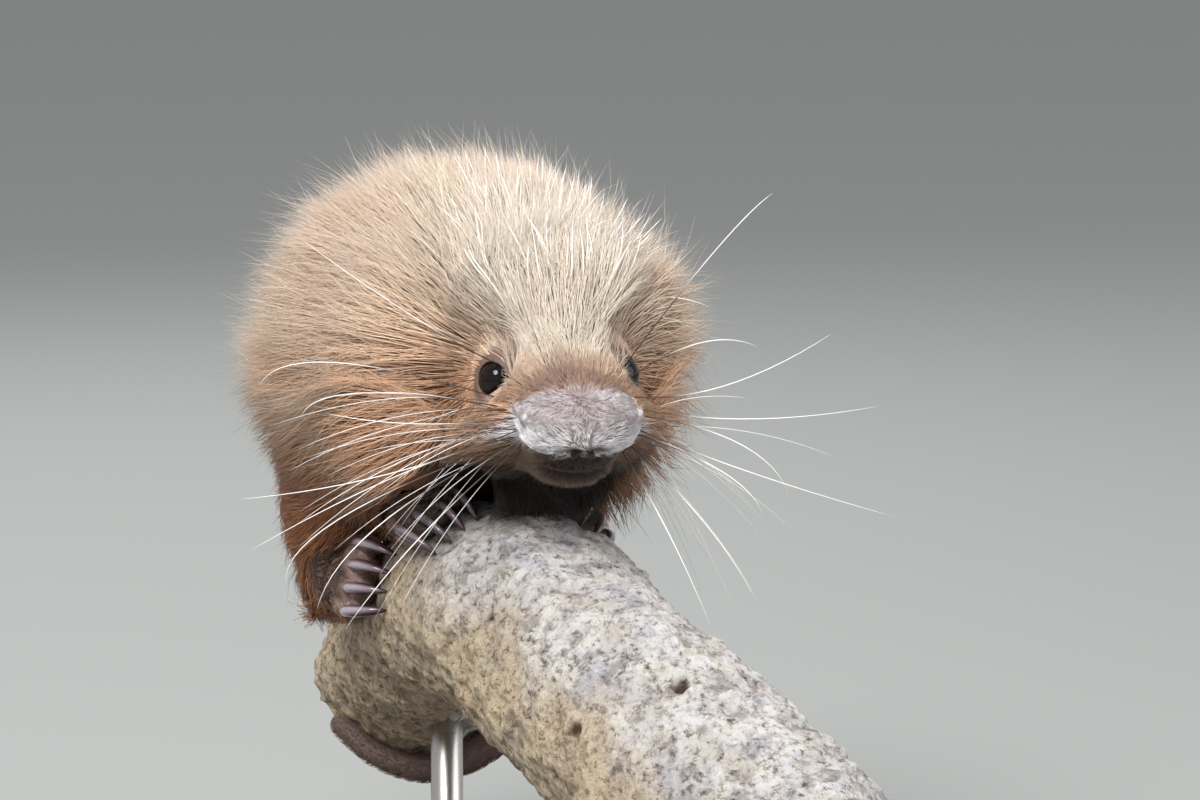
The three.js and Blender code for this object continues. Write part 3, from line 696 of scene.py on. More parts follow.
def quill_finish():
    made, tree, shader = finish("quill", Roughness=0.4, Coat_Weight=0.2)
    paint(tree, ramp(tree, attribute(tree, "reach", "Fac"), [
        (0.0, (0.45, 0.30, 0.18)), (0.3, (0.80, 0.70, 0.55)), (0.6, (0.92, 0.88, 0.80)),
        (1.0, (0.97, 0.94, 0.88))]), shader)
    return made


def bark_finish():
    """Speckled crust, darker between its plates, with patches, flakes, a buff side, holes darkened with
    painted shade and sawn ends
    """
    made, tree, shader = finish("bark", Roughness=0.9)
    where = object_place(tree)
    crust = ramp(tree, mottle(tree, where, 520.0, 9.0, 0.74), [
        (0.36, (0.20, 0.16, 0.14)), (0.41, (0.50, 0.45, 0.40)), (0.46, (0.84, 0.81, 0.77)),
        (0.53, (0.97, 0.96, 0.95))])
    plate = ramp(tree, attribute(tree, "plate", "Fac"), [(0.0, (0.82, 0.80, 0.79)), (1.0, WHITE)])
    wide = ramp(tree, mottle(tree, where, 95.0, 5.0, 0.65), [
        (0.38, (0.76, 0.77, 0.83)), (0.45, (0.96, 0.95, 0.96)), (0.57, (1.0, 0.99, 0.96)),
        (0.68, (0.94, 0.88, 0.80))])
    flakes = ramp(tree, mottle(tree, where, 210.0, 6.0, 0.70), [
        (0.40, (0.58, 0.54, 0.53)), (0.46, (0.86, 0.84, 0.84)), (0.50, (1.0, 0.99, 0.98))])
    surface = times(tree, times(tree, times(tree, crust, plate), wide), flakes)
    buffed = times(tree, surface, (0.84, 0.71, 0.52))
    surface = blend_colour(tree, attribute(tree, "buff", "Fac"), surface, buffed)
    # Painted shade in the beetle holes: dark where the bark sinks
    hollow = ramp(tree, attribute(tree, "hollow", "Fac"), [(0.0, WHITE), (1.0, (0.10, 0.06, 0.04))])
    surface = times(tree, surface, hollow)
    paint(tree, blend_colour(tree, attribute(tree, "sawn", "Fac"), surface, end_grain(tree)), shader)
    bump(tree, mottle(tree, where, 700.0, 8.0, 0.70), shader, 1.0, 0.0024)
    return made


GROWTH_RINGS = 11.0


def end_grain(tree):
    """Rings of the sawn ends, by their distance from the heart of the wood"""
    heart = attribute(tree, "heart", "Fac")
    scaled = add_node(tree, "ShaderNodeMath")
    scaled.operation = "MULTIPLY"
    scaled.inputs[1].default_value = GROWTH_RINGS
    tree.links.new(heart, scaled.inputs[0])
    rings = tree.nodes.new("ShaderNodeMath")
    rings.operation = "FRACT"
    tree.links.new(scaled.outputs[0], rings.inputs[0])
    return ramp(tree, rings.outputs[0], [(0.0, (0.36, 0.22, 0.11)), (0.2, (0.62, 0.45, 0.26)),
                                         (0.85, (0.66, 0.50, 0.31)), (1.0, (0.38, 0.24, 0.12))])


def stand_wood_finish():
    made, tree, shader = finish("stand_wood", Roughness=0.38, Coat_Weight=0.25, Coat_Roughness=0.25)
    grain = mottle(tree, object_place(tree, (14, 0.9, 14)), 14.0, 6.0, 0.6)
    paint(tree, ramp(tree, grain, [
        (0.3, (0.020, 0.014, 0.010)), (0.5, (0.045, 0.030, 0.022)), (0.7, (0.075, 0.05, 0.035))]), shader)
    bump(tree, grain, shader, 0.2, 0.0004)
    return made


def stand_metal_finish():
    made, tree, shader = finish("stand_metal", (0.55, 0.53, 0.50), Roughness=0.28, Metallic=1.0)
    brushed = mottle(tree, object_place(tree, (1, 1, 40)), 160.0, 3.0)
    rough = add_node(tree, "ShaderNodeMapRange", To_Min=0.2, To_Max=0.4)
    tree.links.new(brushed, rough.inputs["Value"])
    tree.links.new(rough.outputs["Result"], shader.inputs["Roughness"])
    return made


FINISH = {
    "hair": hair_finish(), "skin": skin_finish(), "eye": eye_finish(), "claw": claw_finish(),
    "whisker": whisker_finish(), "quill": quill_finish(), "bark": bark_finish(),
    "stand_wood": stand_wood_finish(), "stand_metal": stand_metal_finish(),
}

# Colours of the coat and the skin; the throat, mouth and toe-gap colours and the nostrils' dark are painted
# shade, and the chin's is darkened with painted shade
CREAM = np.array((0.88, 0.77, 0.65))
TAN = np.array((0.74, 0.40, 0.17))
ROSY = np.array((0.88, 0.66, 0.50))
RUST = np.array((0.36, 0.115, 0.03))
ROOT_BROWN = np.array((0.30, 0.14, 0.06))
TIP_PALE = np.array((0.95, 0.80, 0.64))
# Painted shadow: near-black under the chin and over the chest
THROAT_SHADOW = np.array((0.006, 0.004, 0.003))
DOWN_TOP = np.array((0.68, 0.60, 0.60))
DOWN_RIM = np.array((0.88, 0.85, 0.86))
# Painted shade round the mouth and under the nose bulb
MOUTH_SHADE = np.array((0.06, 0.032, 0.026))
# Brown chin hair, darkened with painted shade
SHADED_CHIN = np.array((0.26, 0.17, 0.115))
NOSE_PINK = np.array((0.34, 0.26, 0.26))
BRIDGE_PINK = np.array((0.33, 0.19, 0.145))
LID_DARK = np.array((0.045, 0.026, 0.026))
LID_GREY = np.array((0.17, 0.105, 0.08))
# Near-black: painted shade in the nostrils
DARK = np.array((0.014, 0.008, 0.006))
FOOT_GREY = np.array((0.34, 0.22, 0.16))
# Painted shade between the toes
TOE_GAP_SHADE = np.array((0.10, 0.06, 0.055))
TOE_PALE = np.array((0.36, 0.25, 0.22))
TAIL_GREY = np.array((0.16, 0.11, 0.09))


def nearest(points, places):
    """Distance to the nearest of a few places"""
    return np.min([np.linalg.norm(points - place, axis=1) for place in places], axis=0)


EYE_PLACES = list(EYES.values())
EAR_PLACES = [EARS[side] + look_axes(sign, EAR_LOOK)[2] * EAR["proud"] for side, sign in SIDES.items()]
FOOT_PLACES = [on_branch(limb.y - back, limb.turn, 4.0) for limb in LIMBS for back in (3, 11)]
TOE_LINES = [toe_line(limb, index)[0] for limb in LIMBS for index in range(FOOT["toes"])]
TOE_POINTS = [point for line in TOE_LINES for point in line[2:]]


def foot_share(points):
    """1 on the feet, falling to 0 at the ankles"""
    return smooth(15, 8.5, nearest(points, FOOT_PLACES))


def tail_place(points):
    """How far along the tail a point is, or 0 off it, and the nearest point of its line"""
    steps = np.linalg.norm(points[:, None] - TAIL_LINE[None, ::2], axis=2)
    index = steps.argmin(1) * 2
    on_it = smooth(5.0, 1.5, steps.min(1) - TAIL_RADIUS[index])
    return index / (len(TAIL_LINE) - 1) * on_it, index


def chin_share(points):
    """1 on the chin below the mouth"""
    _, forward, up = in_head(points).T
    return smooth(-16, -12, forward) * smooth(-7.5, -9.0, up) * smooth(20, 14, from_nose(points))


def body_share(points):
    """0 at the face, 1 where the hair is the body's"""
    return smooth(COAT["starts"], COAT["ends"], from_nose(points))


# Hair lengths on the chin, on the feet, at the root of the tail and at its tip
SHORT = {"chin": 4.2, "foot": 3.2, "tail_root": 10.0, "tail_tip": 2.4}


def hair_length(points):
    """Length of the hair that grows from each place on the skin"""
    length = mix(COAT["face"], COAT["body"], body_share(points))
    right, forward, _ = in_head(points).T
    ruff = smooth(9, 20, np.abs(right)) * smooth(-74, -50, forward) * smooth(-16, -26, forward)
    length = length * (1 + COAT["ruff"] * ruff)
    length = mix(length, SHORT["chin"], chin_share(points))
    length = mix(length, SHORT["foot"], foot_share(points))
    tail, _ = tail_place(points)
    on_tail = mix(SHORT["tail_root"], SHORT["tail_tip"], smooth(0.1, 0.7, tail))
    return mix(length, on_tail, smooth(0.12, 0.30, tail))


def hair_lean(points):
    """Lean of the hair from upright: low on the face, the feet and the tail"""
    lean = mix(COAT["face_lean"], COAT["body_lean"], body_share(points))
    tail, _ = tail_place(points)
    return mix(lean, COAT["face_lean"], np.maximum(foot_share(points), smooth(0.12, 0.30, tail)))


def hair_depth(points):
    """How far the tips stand off the skin: less under the belly, low on the flanks and round the eyes"""
    depth = hair_length(points) * np.cos(hair_lean(points)) * COAT["stands"]
    belly = smooth(26, 12, np.abs(points[:, 0])) * smooth(TOP + 20, TOP + 2, points[:, 2])
    low = smooth(TOP + 36, TOP + 10, points[:, 2]) * smooth(20, 34, from_nose(points))
    low = low * smooth(14, 26, np.abs(points[:, 0]))
    eye = smooth(5.5, 13.5, nearest(points, EYE_PLACES))
    depth = depth * (1 - 0.5 * belly) * (1 - COAT["low"] * low) * eye
    return depth + 0.3 + chin_share(points)


def hair_lie(points, normals):
    """The way the coat lies: away from the nose, down the flanks, round the eyes, along feet and tail"""
    away = unit(points - NOSE)
    away[:, 2] -= COAT["sweep"] * body_share(points) * np.hypot(normals[:, 0], normals[:, 1])
    for eye in EYES.values():
        off = points - eye
        gap = np.linalg.norm(off, axis=1)
        away += off / gap[:, None] * (1.3 * smooth(11.5, 6, gap))[:, None]
    tail, index = tail_place(points)
    along = TAIL_LINE[np.minimum(index + 1, len(TAIL_LINE) - 1)] - TAIL_LINE[np.maximum(index - 1, 0)]
    away = mix(away, unit(along), smooth(0.05, 0.2, tail)[:, None])
    away = mix(away, np.array((0.0, -1.0, 0.0)), foot_share(points)[:, None])
    return unit(away - normals * (away * normals).sum(1)[:, None])


def over(colour, tone, share):
    """The colour with a share of a tone laid over it at each place"""
    return mix(colour, tone, share[:, None])


def coat_colour(points):
    """The coat's colour halfway along the hair that grows at each place"""
    right, forward, up = in_head(points).T
    nose_gap = from_nose(points)
    patchy = noise(points, 14)
    high = smooth(TOP + 20, TOP + 56, points[:, 2] + 5 * patchy)
    low = smooth(TOP + 44, TOP + 6, points[:, 2] + 4 * patchy)
    edge = mix(19, 27, smooth(-20, -44, forward))
    crown = smooth(edge, 8, np.abs(right)) * smooth(-2, 7, up) * smooth(-72, -40, forward)
    crown = crown * smooth(-7, -12, forward)
    colour = over(TAN, ROSY, np.clip(0.42 + high + 0.2 * patchy, 0, 1))
    colour = over(colour, RUST, 0.9 * low)
    colour = over(colour, CREAM, crown)
    # Painted shadow under the chin and over the chest, down towards the branch
    throat_shadow = smooth(26, 15, np.abs(points[:, 0] + 3)) * smooth(TOP + 24, TOP + 15, points[:, 2])
    colour = over(colour, THROAT_SHADOW, throat_shadow * smooth(16, -10, points[:, 1]))
    corner = smooth(10.5, 7.5, nearest(points, EYE_PLACES)) * smooth(13.5, 11, np.abs(right))
    bridge = np.maximum(smooth(14.5, 11.8, nose_gap), corner) * smooth(0, 4, up)
    colour = over(colour, BRIDGE_PINK, 0.75 * bridge)
    # The chin's brown hair, darkened with painted shade below the nose bulb
    colour = over(colour, SHADED_CHIN, smooth(18, 14, nose_gap) * smooth(-2, -5, up))
    bulb = smooth(-7.6, -4.8, forward - 0.55 * up) * smooth(-4.5, -2.5, up)
    colour = over(colour, over(DOWN_TOP, DOWN_RIM, smooth(6, 0, up)), bulb)
    # Painted shade round the mouth, under the nose bulb
    lips = smooth(-1.8, -4.0, up) * smooth(-10.5, -8.5, up) * smooth(9, 5, np.abs(right))
    colour = over(colour, MOUTH_SHADE, lips * smooth(-4, 1, forward))
    colour = over(colour, FOOT_GREY, 0.8 * foot_share(points))
    tail, _ = tail_place(points)
    return over(colour, TAIL_GREY, 0.85 * smooth(0.05, 0.55, tail))


def skin_colour(points):
    """The skin's colour: the coat's, darkened partly as painted shade under the hair, with bare nose, lids,
    lips, nostrils, ears, toes and tail; painted shade under the mouth, in the nostrils and between the toes
    """
    _, forward, up = in_head(points).T
    eye_gap = nearest(points, EYE_PLACES)
    # The skin under the coat is darkened, partly as painted shade from the hair over it
    colour = coat_colour(points) * 0.6
    colour = over(colour, BRIDGE_PINK, 0.8 * smooth(24, 15, from_nose(points)))
    bulb = smooth(-7.6, -4.8, forward - 0.55 * up) * smooth(-5, -3, up)
    colour = over(colour, NOSE_PINK, bulb)
    colour = over(colour, LID_GREY, smooth(8.0, 6.6, eye_gap))
    colour = over(colour, LID_DARK, smooth(5.75, 5.45, eye_gap))
    # Painted shade on the skin under the nose bulb and the jaw
    under = smooth(-3.0, -5.0, up) * smooth(-22, -14, forward)
    colour = over(colour, MOUTH_SHADE * 0.6, under)
    # Painted shade in the nostrils' hollows
    colour = over(colour, DARK, smooth(3.0, 1.8, nearest(points, NOSTRILS)))
    colour = over(colour, ROOT_BROWN, smooth(7, 4, nearest(points, EAR_PLACES)))
    feet = foot_share(points)
    colour = over(colour, FOOT_GREY * 0.8, feet)
    # On the feet: pale toes with painted shade between them
    near = np.flatnonzero(feet > 0.3)
    on_toe = smooth(4.2, 2.9, nearest(points[near], TOE_POINTS))
    colour[near] = over(colour[near], over(TOE_GAP_SHADE * 0.35, TOE_PALE, on_toe), feet[near])
    tail, _ = tail_place(points)
    return over(colour, TAIL_GREY, smooth(0.1, 0.55, tail))


skin_points, skin_faces = skin_surface()
skin_mesh = new_mesh("skin", skin_points, skin_faces, FINISH["skin"])
tint(skin_mesh, skin_colour(skin_points))
place(skin_mesh, "coat", ["head", "lower_jaw", "neck", "torso", "rump", "ear_right", "ear_left", "tail_base",
                          "tail_middle", "tail_tip", *["leg_" + limb.name for limb in LIMBS],
                          *["foot_" + limb.name for limb in LIMBS]])

# Coat: tufts that follow the lie, gathered a little towards the guide of their lock
BAKE_PATCH = 0.003

# A growth is for hair from low to high long, half is half its thickness at the root, and reach lifts tips
Growth = namedtuple("Growth", "name count seed low high rings half reach pieces")
GROWTHS = [
    Growth("coat_long", 54000, 21, 12.0, 99.0, 3, 0.165, 1.0, 5),
    Growth("coat_guard", 5000, 24, 14.0, 99.0, 3, 0.09, 1.33, 1),
    Growth("coat_middle", 14000, 22, 4.5, 12.0, 3, 0.13, 1.0, 2),
    Growth("coat_short", 33000, 23, 0.9, 4.5, 2, 0.08, 1.0, 2),
]
LOCKS = {"count": 5200, "seed": 31, "gather": 0.50, "swerve": 0.30, "loose": 0.30}


def scatter(points, faces, count, seed, wanted):
    """Places spread at random over the skin, as dense as wanted says"""
    random = np.random.default_rng(seed)
    triangles = np.concatenate([faces[:, (0, 1, 2)], faces[:, (0, 2, 3)]])
    a, b, c = (points[triangles[:, i]] for i in range(3))
    weight = np.linalg.norm(np.cross(b - a, c - a), axis=1) * wanted((a + b + c) / 3)
    chosen = random.choice(len(triangles), count, p=weight / weight.sum())
    u, v = random.random((2, count))
    fold = u + v > 1
    u, v = np.where(fold, 1 - u, u)[:, None], np.where(fold, 1 - v, v)[:, None]
    return a[chosen] + u * (b[chosen] - a[chosen]) + v * (c[chosen] - a[chosen])


def bears_hair(points):
    """1 where hair grows: off the eyes, the nostrils, the lips and the soles"""
    right, forward, up = in_head(points).T
    eye = smooth(5.9, 6.6, nearest(points, EYE_PLACES))
    slit = np.abs(up + MOUTH["down"])
    lips = smooth(1.0, 0.5, slit) * smooth(-9, -6, forward) * smooth(9, 7, np.abs(right))
    height, _ = above_bark(points)
    holes = smooth(2.0, 3.0, nearest(points, NOSTRILS))
    return eye * holes * (1 - lips) * smooth(0.8, 1.8, height)


def courses(roots, along, depth, swerve, rings):
    """Each tuft's course over the skin: it follows the lie while it rises to depth"""
    at, normals = roots, unit(slope(roots, COMBED))
    lines, t = [at - unit(slope(roots, HAIRY)) * 0.5], np.linspace(0, 1, rings + 1)
    for step in range(1, rings + 1):
        lie = hair_lie(at, normals)
        turn = (swerve * t[step])[:, None]
        lie = lie * np.cos(turn) + np.cross(normals, lie) * np.sin(turn)
        at = onto(at + lie * (along / rings)[:, None], COMBED)
        normals = unit(slope(at, COMBED))
        lines.append(at + normals * (depth * t[step] ** 0.85)[:, None])
    return np.stack(lines, 1)


def off_the_bark(lines, clear=0.5):
    """Lifts what would sink into the bark"""
    flat = lines.reshape(-1, 3)
    height, away = above_bark(flat)
    return (flat + away * np.maximum(clear - height, 0)[:, None]).reshape(lines.shape)


def off_the_eyes(lines, clear=6.1):
    """Pushes what would pass through an eye in front of its lids"""
    flat = lines.reshape(-1, 3)
    for eye in EYES.values():
        off = flat - eye
        gap = np.linalg.norm(off, axis=1)
        flat = flat + off / gap[:, None] * np.maximum(clear - gap, 0)[:, None]
    return flat.reshape(lines.shape)


# Room over a foot: places back along it, heights above the bark and radii, narrower on the left feet
FOOT_ROOM = {"back": (2, 11, 20), "height": (7, 7, 5), "radius": (6.5, 8.0, 7.0), "left": 0.75}

# Corridors from the right feet's claws towards the camera: turned inward, radius at the claws and far off
CORRIDORS = {"fore_right": ((0, 9.0, 12.0), (17, 7.0, 9.0)), "hind_right": ((0, 8.0, 9.5),)}
CORRIDOR = {"back": 13, "height": 4, "length": 42}

# Room in front of an eye: where it starts and ends in front of the eye's middle, with its radii there
EYE_ROOM = {"reach": (5.0, 16.0), "radius": (3.7, 6.4)}
ROOM_BLEND = 0.5


def foot_rooms():
    """The clear space over each foot, where only the foot's own hair stays"""
    made = []
    for limb in LIMBS:
        along = limb.y - np.array(FOOT_ROOM["back"]) * limb.size
        line = on_branch(along, limb.turn, np.array(FOOT_ROOM["height"]))
        share = 1 if limb.turn < 0 else FOOT_ROOM["left"]
        made.append(tube(line, np.array(FOOT_ROOM["radius"]) * share, ROOM_BLEND))
    return made


def corridors():
    """The clear space in front of the claws that the camera sees, where no hair hangs"""
    made = []
    for limb in LIMBS:
        for inward, near, far in CORRIDORS.get(limb.name, ()):
            toes = on_branch(limb.y - CORRIDOR["back"] * limb.size, limb.turn + inward, CORRIDOR["height"])
            made.append(tube([toes, toes + CAM_BACK * CORRIDOR["length"]], (near, far), ROOM_BLEND))
    return made


def eye_rooms():
    """The clear space in front of each eye"""
    made = []
    for side, sign in SIDES.items():
        out = look_axes(sign, EYE_LOOK)[2]
        ends = [EYES[side] + out * reach for reach in EYE_ROOM["reach"]]
        made.append(tube(ends, EYE_ROOM["radius"], ROOM_BLEND))
    return made


FOOT_ROOMS = foot_rooms()
CLAW_ROOMS = FOOT_ROOMS + corridors()
EYE_ROOMS = eye_rooms()


def at_places(lines, along):
    """Points on the lines, so many of their steps along them"""
    base = np.clip(along.astype(int), 0, lines.shape[1] - 2)
    rows = np.arange(len(lines))[:, None]
    return mix(lines[rows, base], lines[rows, base + 1], (along - base)[..., None])


def cut_short(lines, rooms, free, fine=13):
    """Ends each tuft that isn't free before it enters a room, and tells which are long enough to stay"""
    count, points = lines.shape[:2]
    steps = np.broadcast_to(np.linspace(0, points - 1, fine), (count, fine))
    inside = (distance(at_places(lines, steps).reshape(-1, 3), rooms) < 0).reshape(count, fine)
    inside[free] = False
    last = np.where(inside.any(1), inside.argmax(1) - 1.0, fine - 1) / (fine - 1)
    along = np.linspace(0, points - 1, points)[None] * np.maximum(last, 0)[:, None]
    return at_places(lines, along), last > 0.15


def grown_courses(roots, random, rings, loose, reach=1.0):
    """Courses of tufts with the coat's own length, lean and depth, a little different each"""
    lean, depth = hair_lean(roots), hair_depth(roots) * reach
    depth = depth * mix(1 - loose, 1 + loose * 0.55, random.random(len(roots)))
    low = smooth(TOP + 26, TOP + 4, roots[:, 2])
    along = hair_length(roots) * np.sin(lean) * mix(0.92, 1.32, random.random(len(roots))) * (1 - 0.3 * low)
    swerve = LOCKS["swerve"] * random.standard_normal(len(roots))
    return courses(roots, along, depth, swerve, rings)


def guides():
    """Roots of the guides towards which the tufts of each lock gather, and a tree that finds the nearest"""
    def wanted(points):
        return 1 / hair_length(points) ** 0.5

    roots = scatter(skin_points, skin_faces, LOCKS["count"], LOCKS["seed"], wanted)
    tree = kdtree.KDTree(len(roots))
    for index, root in enumerate(roots):
        tree.insert(root, index)
    tree.balance()
    return tree, roots


GUIDE_TREE, GUIDE_ROOTS = guides()
GUIDE_SEED = np.random.default_rng(LOCKS["seed"]).integers(1 << 30)


def gathered(lines, roots, rings, share):
    """Draws each tuft's outer part towards its lock's guide, and tells which guide that is"""
    random = np.random.default_rng(GUIDE_SEED)
    guide_lines = grown_courses(GUIDE_ROOTS, random, rings, LOCKS["loose"] * 0.7)
    index = np.array([GUIDE_TREE.find(root)[1] for root in roots])
    t = np.linspace(0, 1, rings + 1)[None, :, None]
    offset = (roots - GUIDE_ROOTS[index])[:, None] * (1 - 0.7 * t)
    return mix(lines, guide_lines[index] + offset, share * t ** 1.2), index


def unwrap(points):
    """A place on an unwrap of the body, round it and up it"""
    from_middle = unit(points - np.array(BARREL))
    u = 0.5 + np.arctan2(from_middle[:, 0], -from_middle[:, 1]) / (2 * math.pi)
    v = 0.5 + np.arcsin(from_middle[:, 2]) / math.pi
    return np.stack([u, v], 1) * (1 - 2 * BAKE_PATCH) + BAKE_PATCH


def bake_map(mesh, places):
    """The map that the coat is baked on, with a place for every point"""
    corners = np.empty(len(mesh.loops), np.int32)
    mesh.loops.foreach_get("vertex_index", corners)
    layer = mesh.uv_layers.new(name="OFBake")
    layer.data.foreach_set("uv", places[corners].astype(np.float32).ravel())


def tuft_mesh(name, lines, half, colours):
    """Three-sided tapered tufts, closed at root and tip, with a colour for each ring"""
    count, rings = lines.shape[0], lines.shape[1] - 1
    ahead = unit(np.gradient(lines, axis=1))
    out = unit(lines - np.array(BARREL))
    side = unit(np.cross(ahead, out))
    top = np.cross(side, ahead)
    t = np.linspace(0, 1, rings + 1)[:-1]
    width = half[:, None] * (1 - t ** 1.6)
    angles = np.radians((90, 210, 330))
    ring = lines[:, :-1, None] + width[..., None, None] * (
        side[:, :-1, None] * np.cos(angles)[:, None] + top[:, :-1, None] * 0.6 * np.sin(angles)[:, None])
    points = np.concatenate([ring.reshape(count, -1, 3), lines[:, -1:]], 1)
    faces = []
    for step in range(rings - 1):
        for k in range(3):
            a, b = step * 3 + k, step * 3 + (k + 1) % 3
            faces += [(a, b, b + 3), (a, b + 3, a + 3)]
    last = (rings - 1) * 3
    faces += [(last + k, last + (k + 1) % 3, last + 3) for k in range(3)]
    faces.append((2, 1, 0))
    faces = np.array(faces)
    per = rings * 3 + 1
    every = (faces[None] + (np.arange(count) * per)[:, None, None]).reshape(-1, 3)
    mesh = new_mesh(name, points.reshape(-1, 3), every, FINISH["hair"])
    tones = np.concatenate([np.repeat(colours[:, :-1], 3, axis=1), colours[:, -1:]], 1)
    tint(mesh, tones.reshape(-1, 3))
    patch = [(k / 3 - 0.33, step / rings - 0.5) for step in range(rings) for k in range(3)] + [(0, 0.5)]
    bake_map(mesh, (unwrap(lines[:, 0])[:, None] + np.array(patch) * BAKE_PATCH).reshape(-1, 2))
    return mesh


def tuft_colours(roots, index, rings, random):
    """Dark at the root, the coat's colour along it and paler at the tip"""
    middle = coat_colour(roots)
    lock_shade = np.random.default_rng(5).normal(1, 0.10, len(GUIDE_ROOTS))[index]
    own_shade = random.normal(1, 0.10, len(roots))
    middle = middle * (lock_shade * own_shade)[:, None]
    long_hair = smooth(3, 14, hair_length(roots))[:, None]
    dark = 0.62 - 0.30 * smooth(0.45, 0.75, middle.mean(1, keepdims=True))
    root = mix(middle * 0.75, np.minimum(mix(middle, ROOT_BROWN, dark), middle), long_hair)
    tip = mix(middle, TIP_PALE, 0.42 * long_hair * smooth(0.12, 0.42, middle.mean(1, keepdims=True)))
    t = np.linspace(0, 1, rings + 1)
    low, high = smooth(0.0, 0.45, t)[None, :, None], smooth(0.55, 1.0, t)[None, :, None]
    return np.clip(mix(mix(root[:, None], middle[:, None], low), tip[:, None], high), 0.003, 0.97)


def grow(growth):
    """Scatters the roots of one growth, lays its tufts and makes its pieces, split round the body"""
    random = np.random.default_rng(growth.seed)

    def wanted(points):
        length = hair_length(points)
        fits = (length >= growth.low) & (length < growth.high)
        on_face = smooth(40, 25, from_nose(points))
        return fits * bears_hair(points) * (1 + 1.5 * on_face)

    roots = scatter(skin_points, skin_faces, growth.count, growth.seed, wanted)
    lines = grown_courses(roots, random, growth.rings, LOCKS["loose"], growth.reach)
    lines, index = gathered(lines, roots, growth.rings, LOCKS["gather"] / growth.reach ** 4)
    lines = off_the_eyes(off_the_bark(lines))
    lines, clear_of_eyes = cut_short(lines, EYE_ROOMS, np.zeros(len(roots), bool))
    lines, clear_of_feet = cut_short(lines, CLAW_ROOMS, distance(roots, FOOT_ROOMS) < 1.0)
    kept = clear_of_eyes & clear_of_feet
    half = growth.half * mix(0.75, 1.3, random.random(growth.count))
    colours = tuft_colours(roots, index, growth.rings, random)
    lines, half, colours, roots = lines[kept], half[kept], colours[kept], roots[kept]
    round_body = np.arctan2(roots[:, 0], roots[:, 1] - BARREL[1]).argsort()
    for number, share in enumerate(np.array_split(round_body, growth.pieces), 1):
        mesh = tuft_mesh(f"{growth.name}_{number}", lines[share], half[share], colours[share])
        place(mesh, "coat")


for growth in GROWTHS:
    grow(growth)


# Quills and whiskers: tapered hairs along paths, made by one node tree
def new_tree(name, inputs):
    tree = bpy.data.node_groups.new(name, "GeometryNodeTree")
    tree.interface.new_socket("Geometry", in_out="INPUT", socket_type="NodeSocketGeometry")
    for label, kind in inputs:
        tree.interface.new_socket(label, in_out="INPUT", socket_type=kind)
    tree.interface.new_socket("Geometry", in_out="OUTPUT", socket_type="NodeSocketGeometry")
    return tree


def path_tree():
    """Sweeps a circle along every path of a mesh, as wide as the path's own half says"""
    tree = new_tree("hair_along_paths", [("Thickness", "NodeSocketFloat"), ("Sides", "NodeSocketInt"),
                                         ("Finish", "NodeSocketMaterial")])
    nodes = tree.nodes
    source, target = nodes.new("NodeGroupInput"), nodes.new("NodeGroupOutput")
    curve = nodes.new("GeometryNodeMeshToCurve")
    stored = nodes.new("GeometryNodeInputNamedAttribute")
    stored.inputs["Name"].default_value = "half"
    profile = nodes.new("GeometryNodeCurvePrimitiveCircle")
    sweep = nodes.new("GeometryNodeCurveToMesh")
    sweep.inputs["Fill Caps"].default_value = True
    soft = nodes.new("GeometryNodeSetShadeSmooth")
    realize = nodes.new("GeometryNodeRealizeInstances")
    painted = nodes.new("GeometryNodeSetMaterial")
    for giver, output, taker, entry in (
            (source, "Geometry", curve, "Mesh"), (stored, "Attribute", sweep, "Scale"),
            (source, "Sides", profile, "Resolution"), (source, "Thickness", profile, "Radius"),
            (curve, "Curve", sweep, "Curve"), (profile, "Curve", sweep, "Profile Curve"),
            (sweep, "Mesh", soft, "Geometry"), (soft, "Geometry", realize, "Geometry"),
            (realize, "Geometry", painted, "Geometry"), (source, "Finish", painted, "Material"),
            (painted, "Geometry", target, "Geometry")):
        tree.links.new(giver.outputs[output], taker.inputs[entry])
    return tree


PATH_TREE = path_tree()


def made_by_tree(name, mesh, tree, values):
    """The plain mesh that a node tree makes from a mesh, with its inputs set"""
    holder = in_scene(name + "_paths", mesh)
    modifier = holder.modifiers.new("build", "NODES")
    modifier.node_group = tree
    for item in tree.interface.items_tree:
        if item.in_out == "INPUT" and item.name in values:
            modifier[item.identifier] = values[item.name]
    evaluated = holder.evaluated_get(bpy.context.evaluated_depsgraph_get())
    made = bpy.data.meshes.new_from_object(evaluated)
    made.name = name
    holder.modifiers.clear()
    bpy.data.objects.remove(holder)
    return made


def hairs_along(name, paths, half, sides, finish_name):
    """One mesh of tapered hairs: every path has the same number of points"""
    count, steps = paths.shape[:2]
    mesh = bpy.data.meshes.new(name + "_lines")
    mesh.vertices.add(count * steps)
    mesh.vertices.foreach_set("co", (paths * MM).astype(np.float32).ravel())
    start = np.arange(count * steps).reshape(count, steps)
    edges = np.stack([start[:, :-1], start[:, 1:]], -1).reshape(-1, 2)
    mesh.edges.add(len(edges))
    mesh.edges.foreach_set("vertices", edges.astype(np.int32).ravel())
    reach = np.tile(np.linspace(0, 1, steps), count)
    measure_points(mesh, "reach", reach)
    taper = np.sqrt(np.maximum(1 - reach ** 2.2, 0.004)) * np.repeat(half, steps)
    measure_points(mesh, "half", taper)
    mesh.update()
    inputs = {"Thickness": MM, "Sides": sides, "Finish": FINISH[finish_name]}
    made = made_by_tree(name, mesh, PATH_TREE, inputs)
    wrap = unwrap(np.repeat(paths[:, 0], steps * sides, axis=0))
    round_it = np.tile(np.arange(sides) / sides - 0.5, count * steps)
    bake_map(made, wrap + np.stack([round_it, np.repeat(reach, sides) - 0.5], 1) * BAKE_PATCH)
    return made


# Quills: pale stiff spines in the hair of the crown and back
QUILL = {"count": 180, "seed": 41, "length": 15.0, "half": 0.21, "rise": 1.03, "steps": 9}


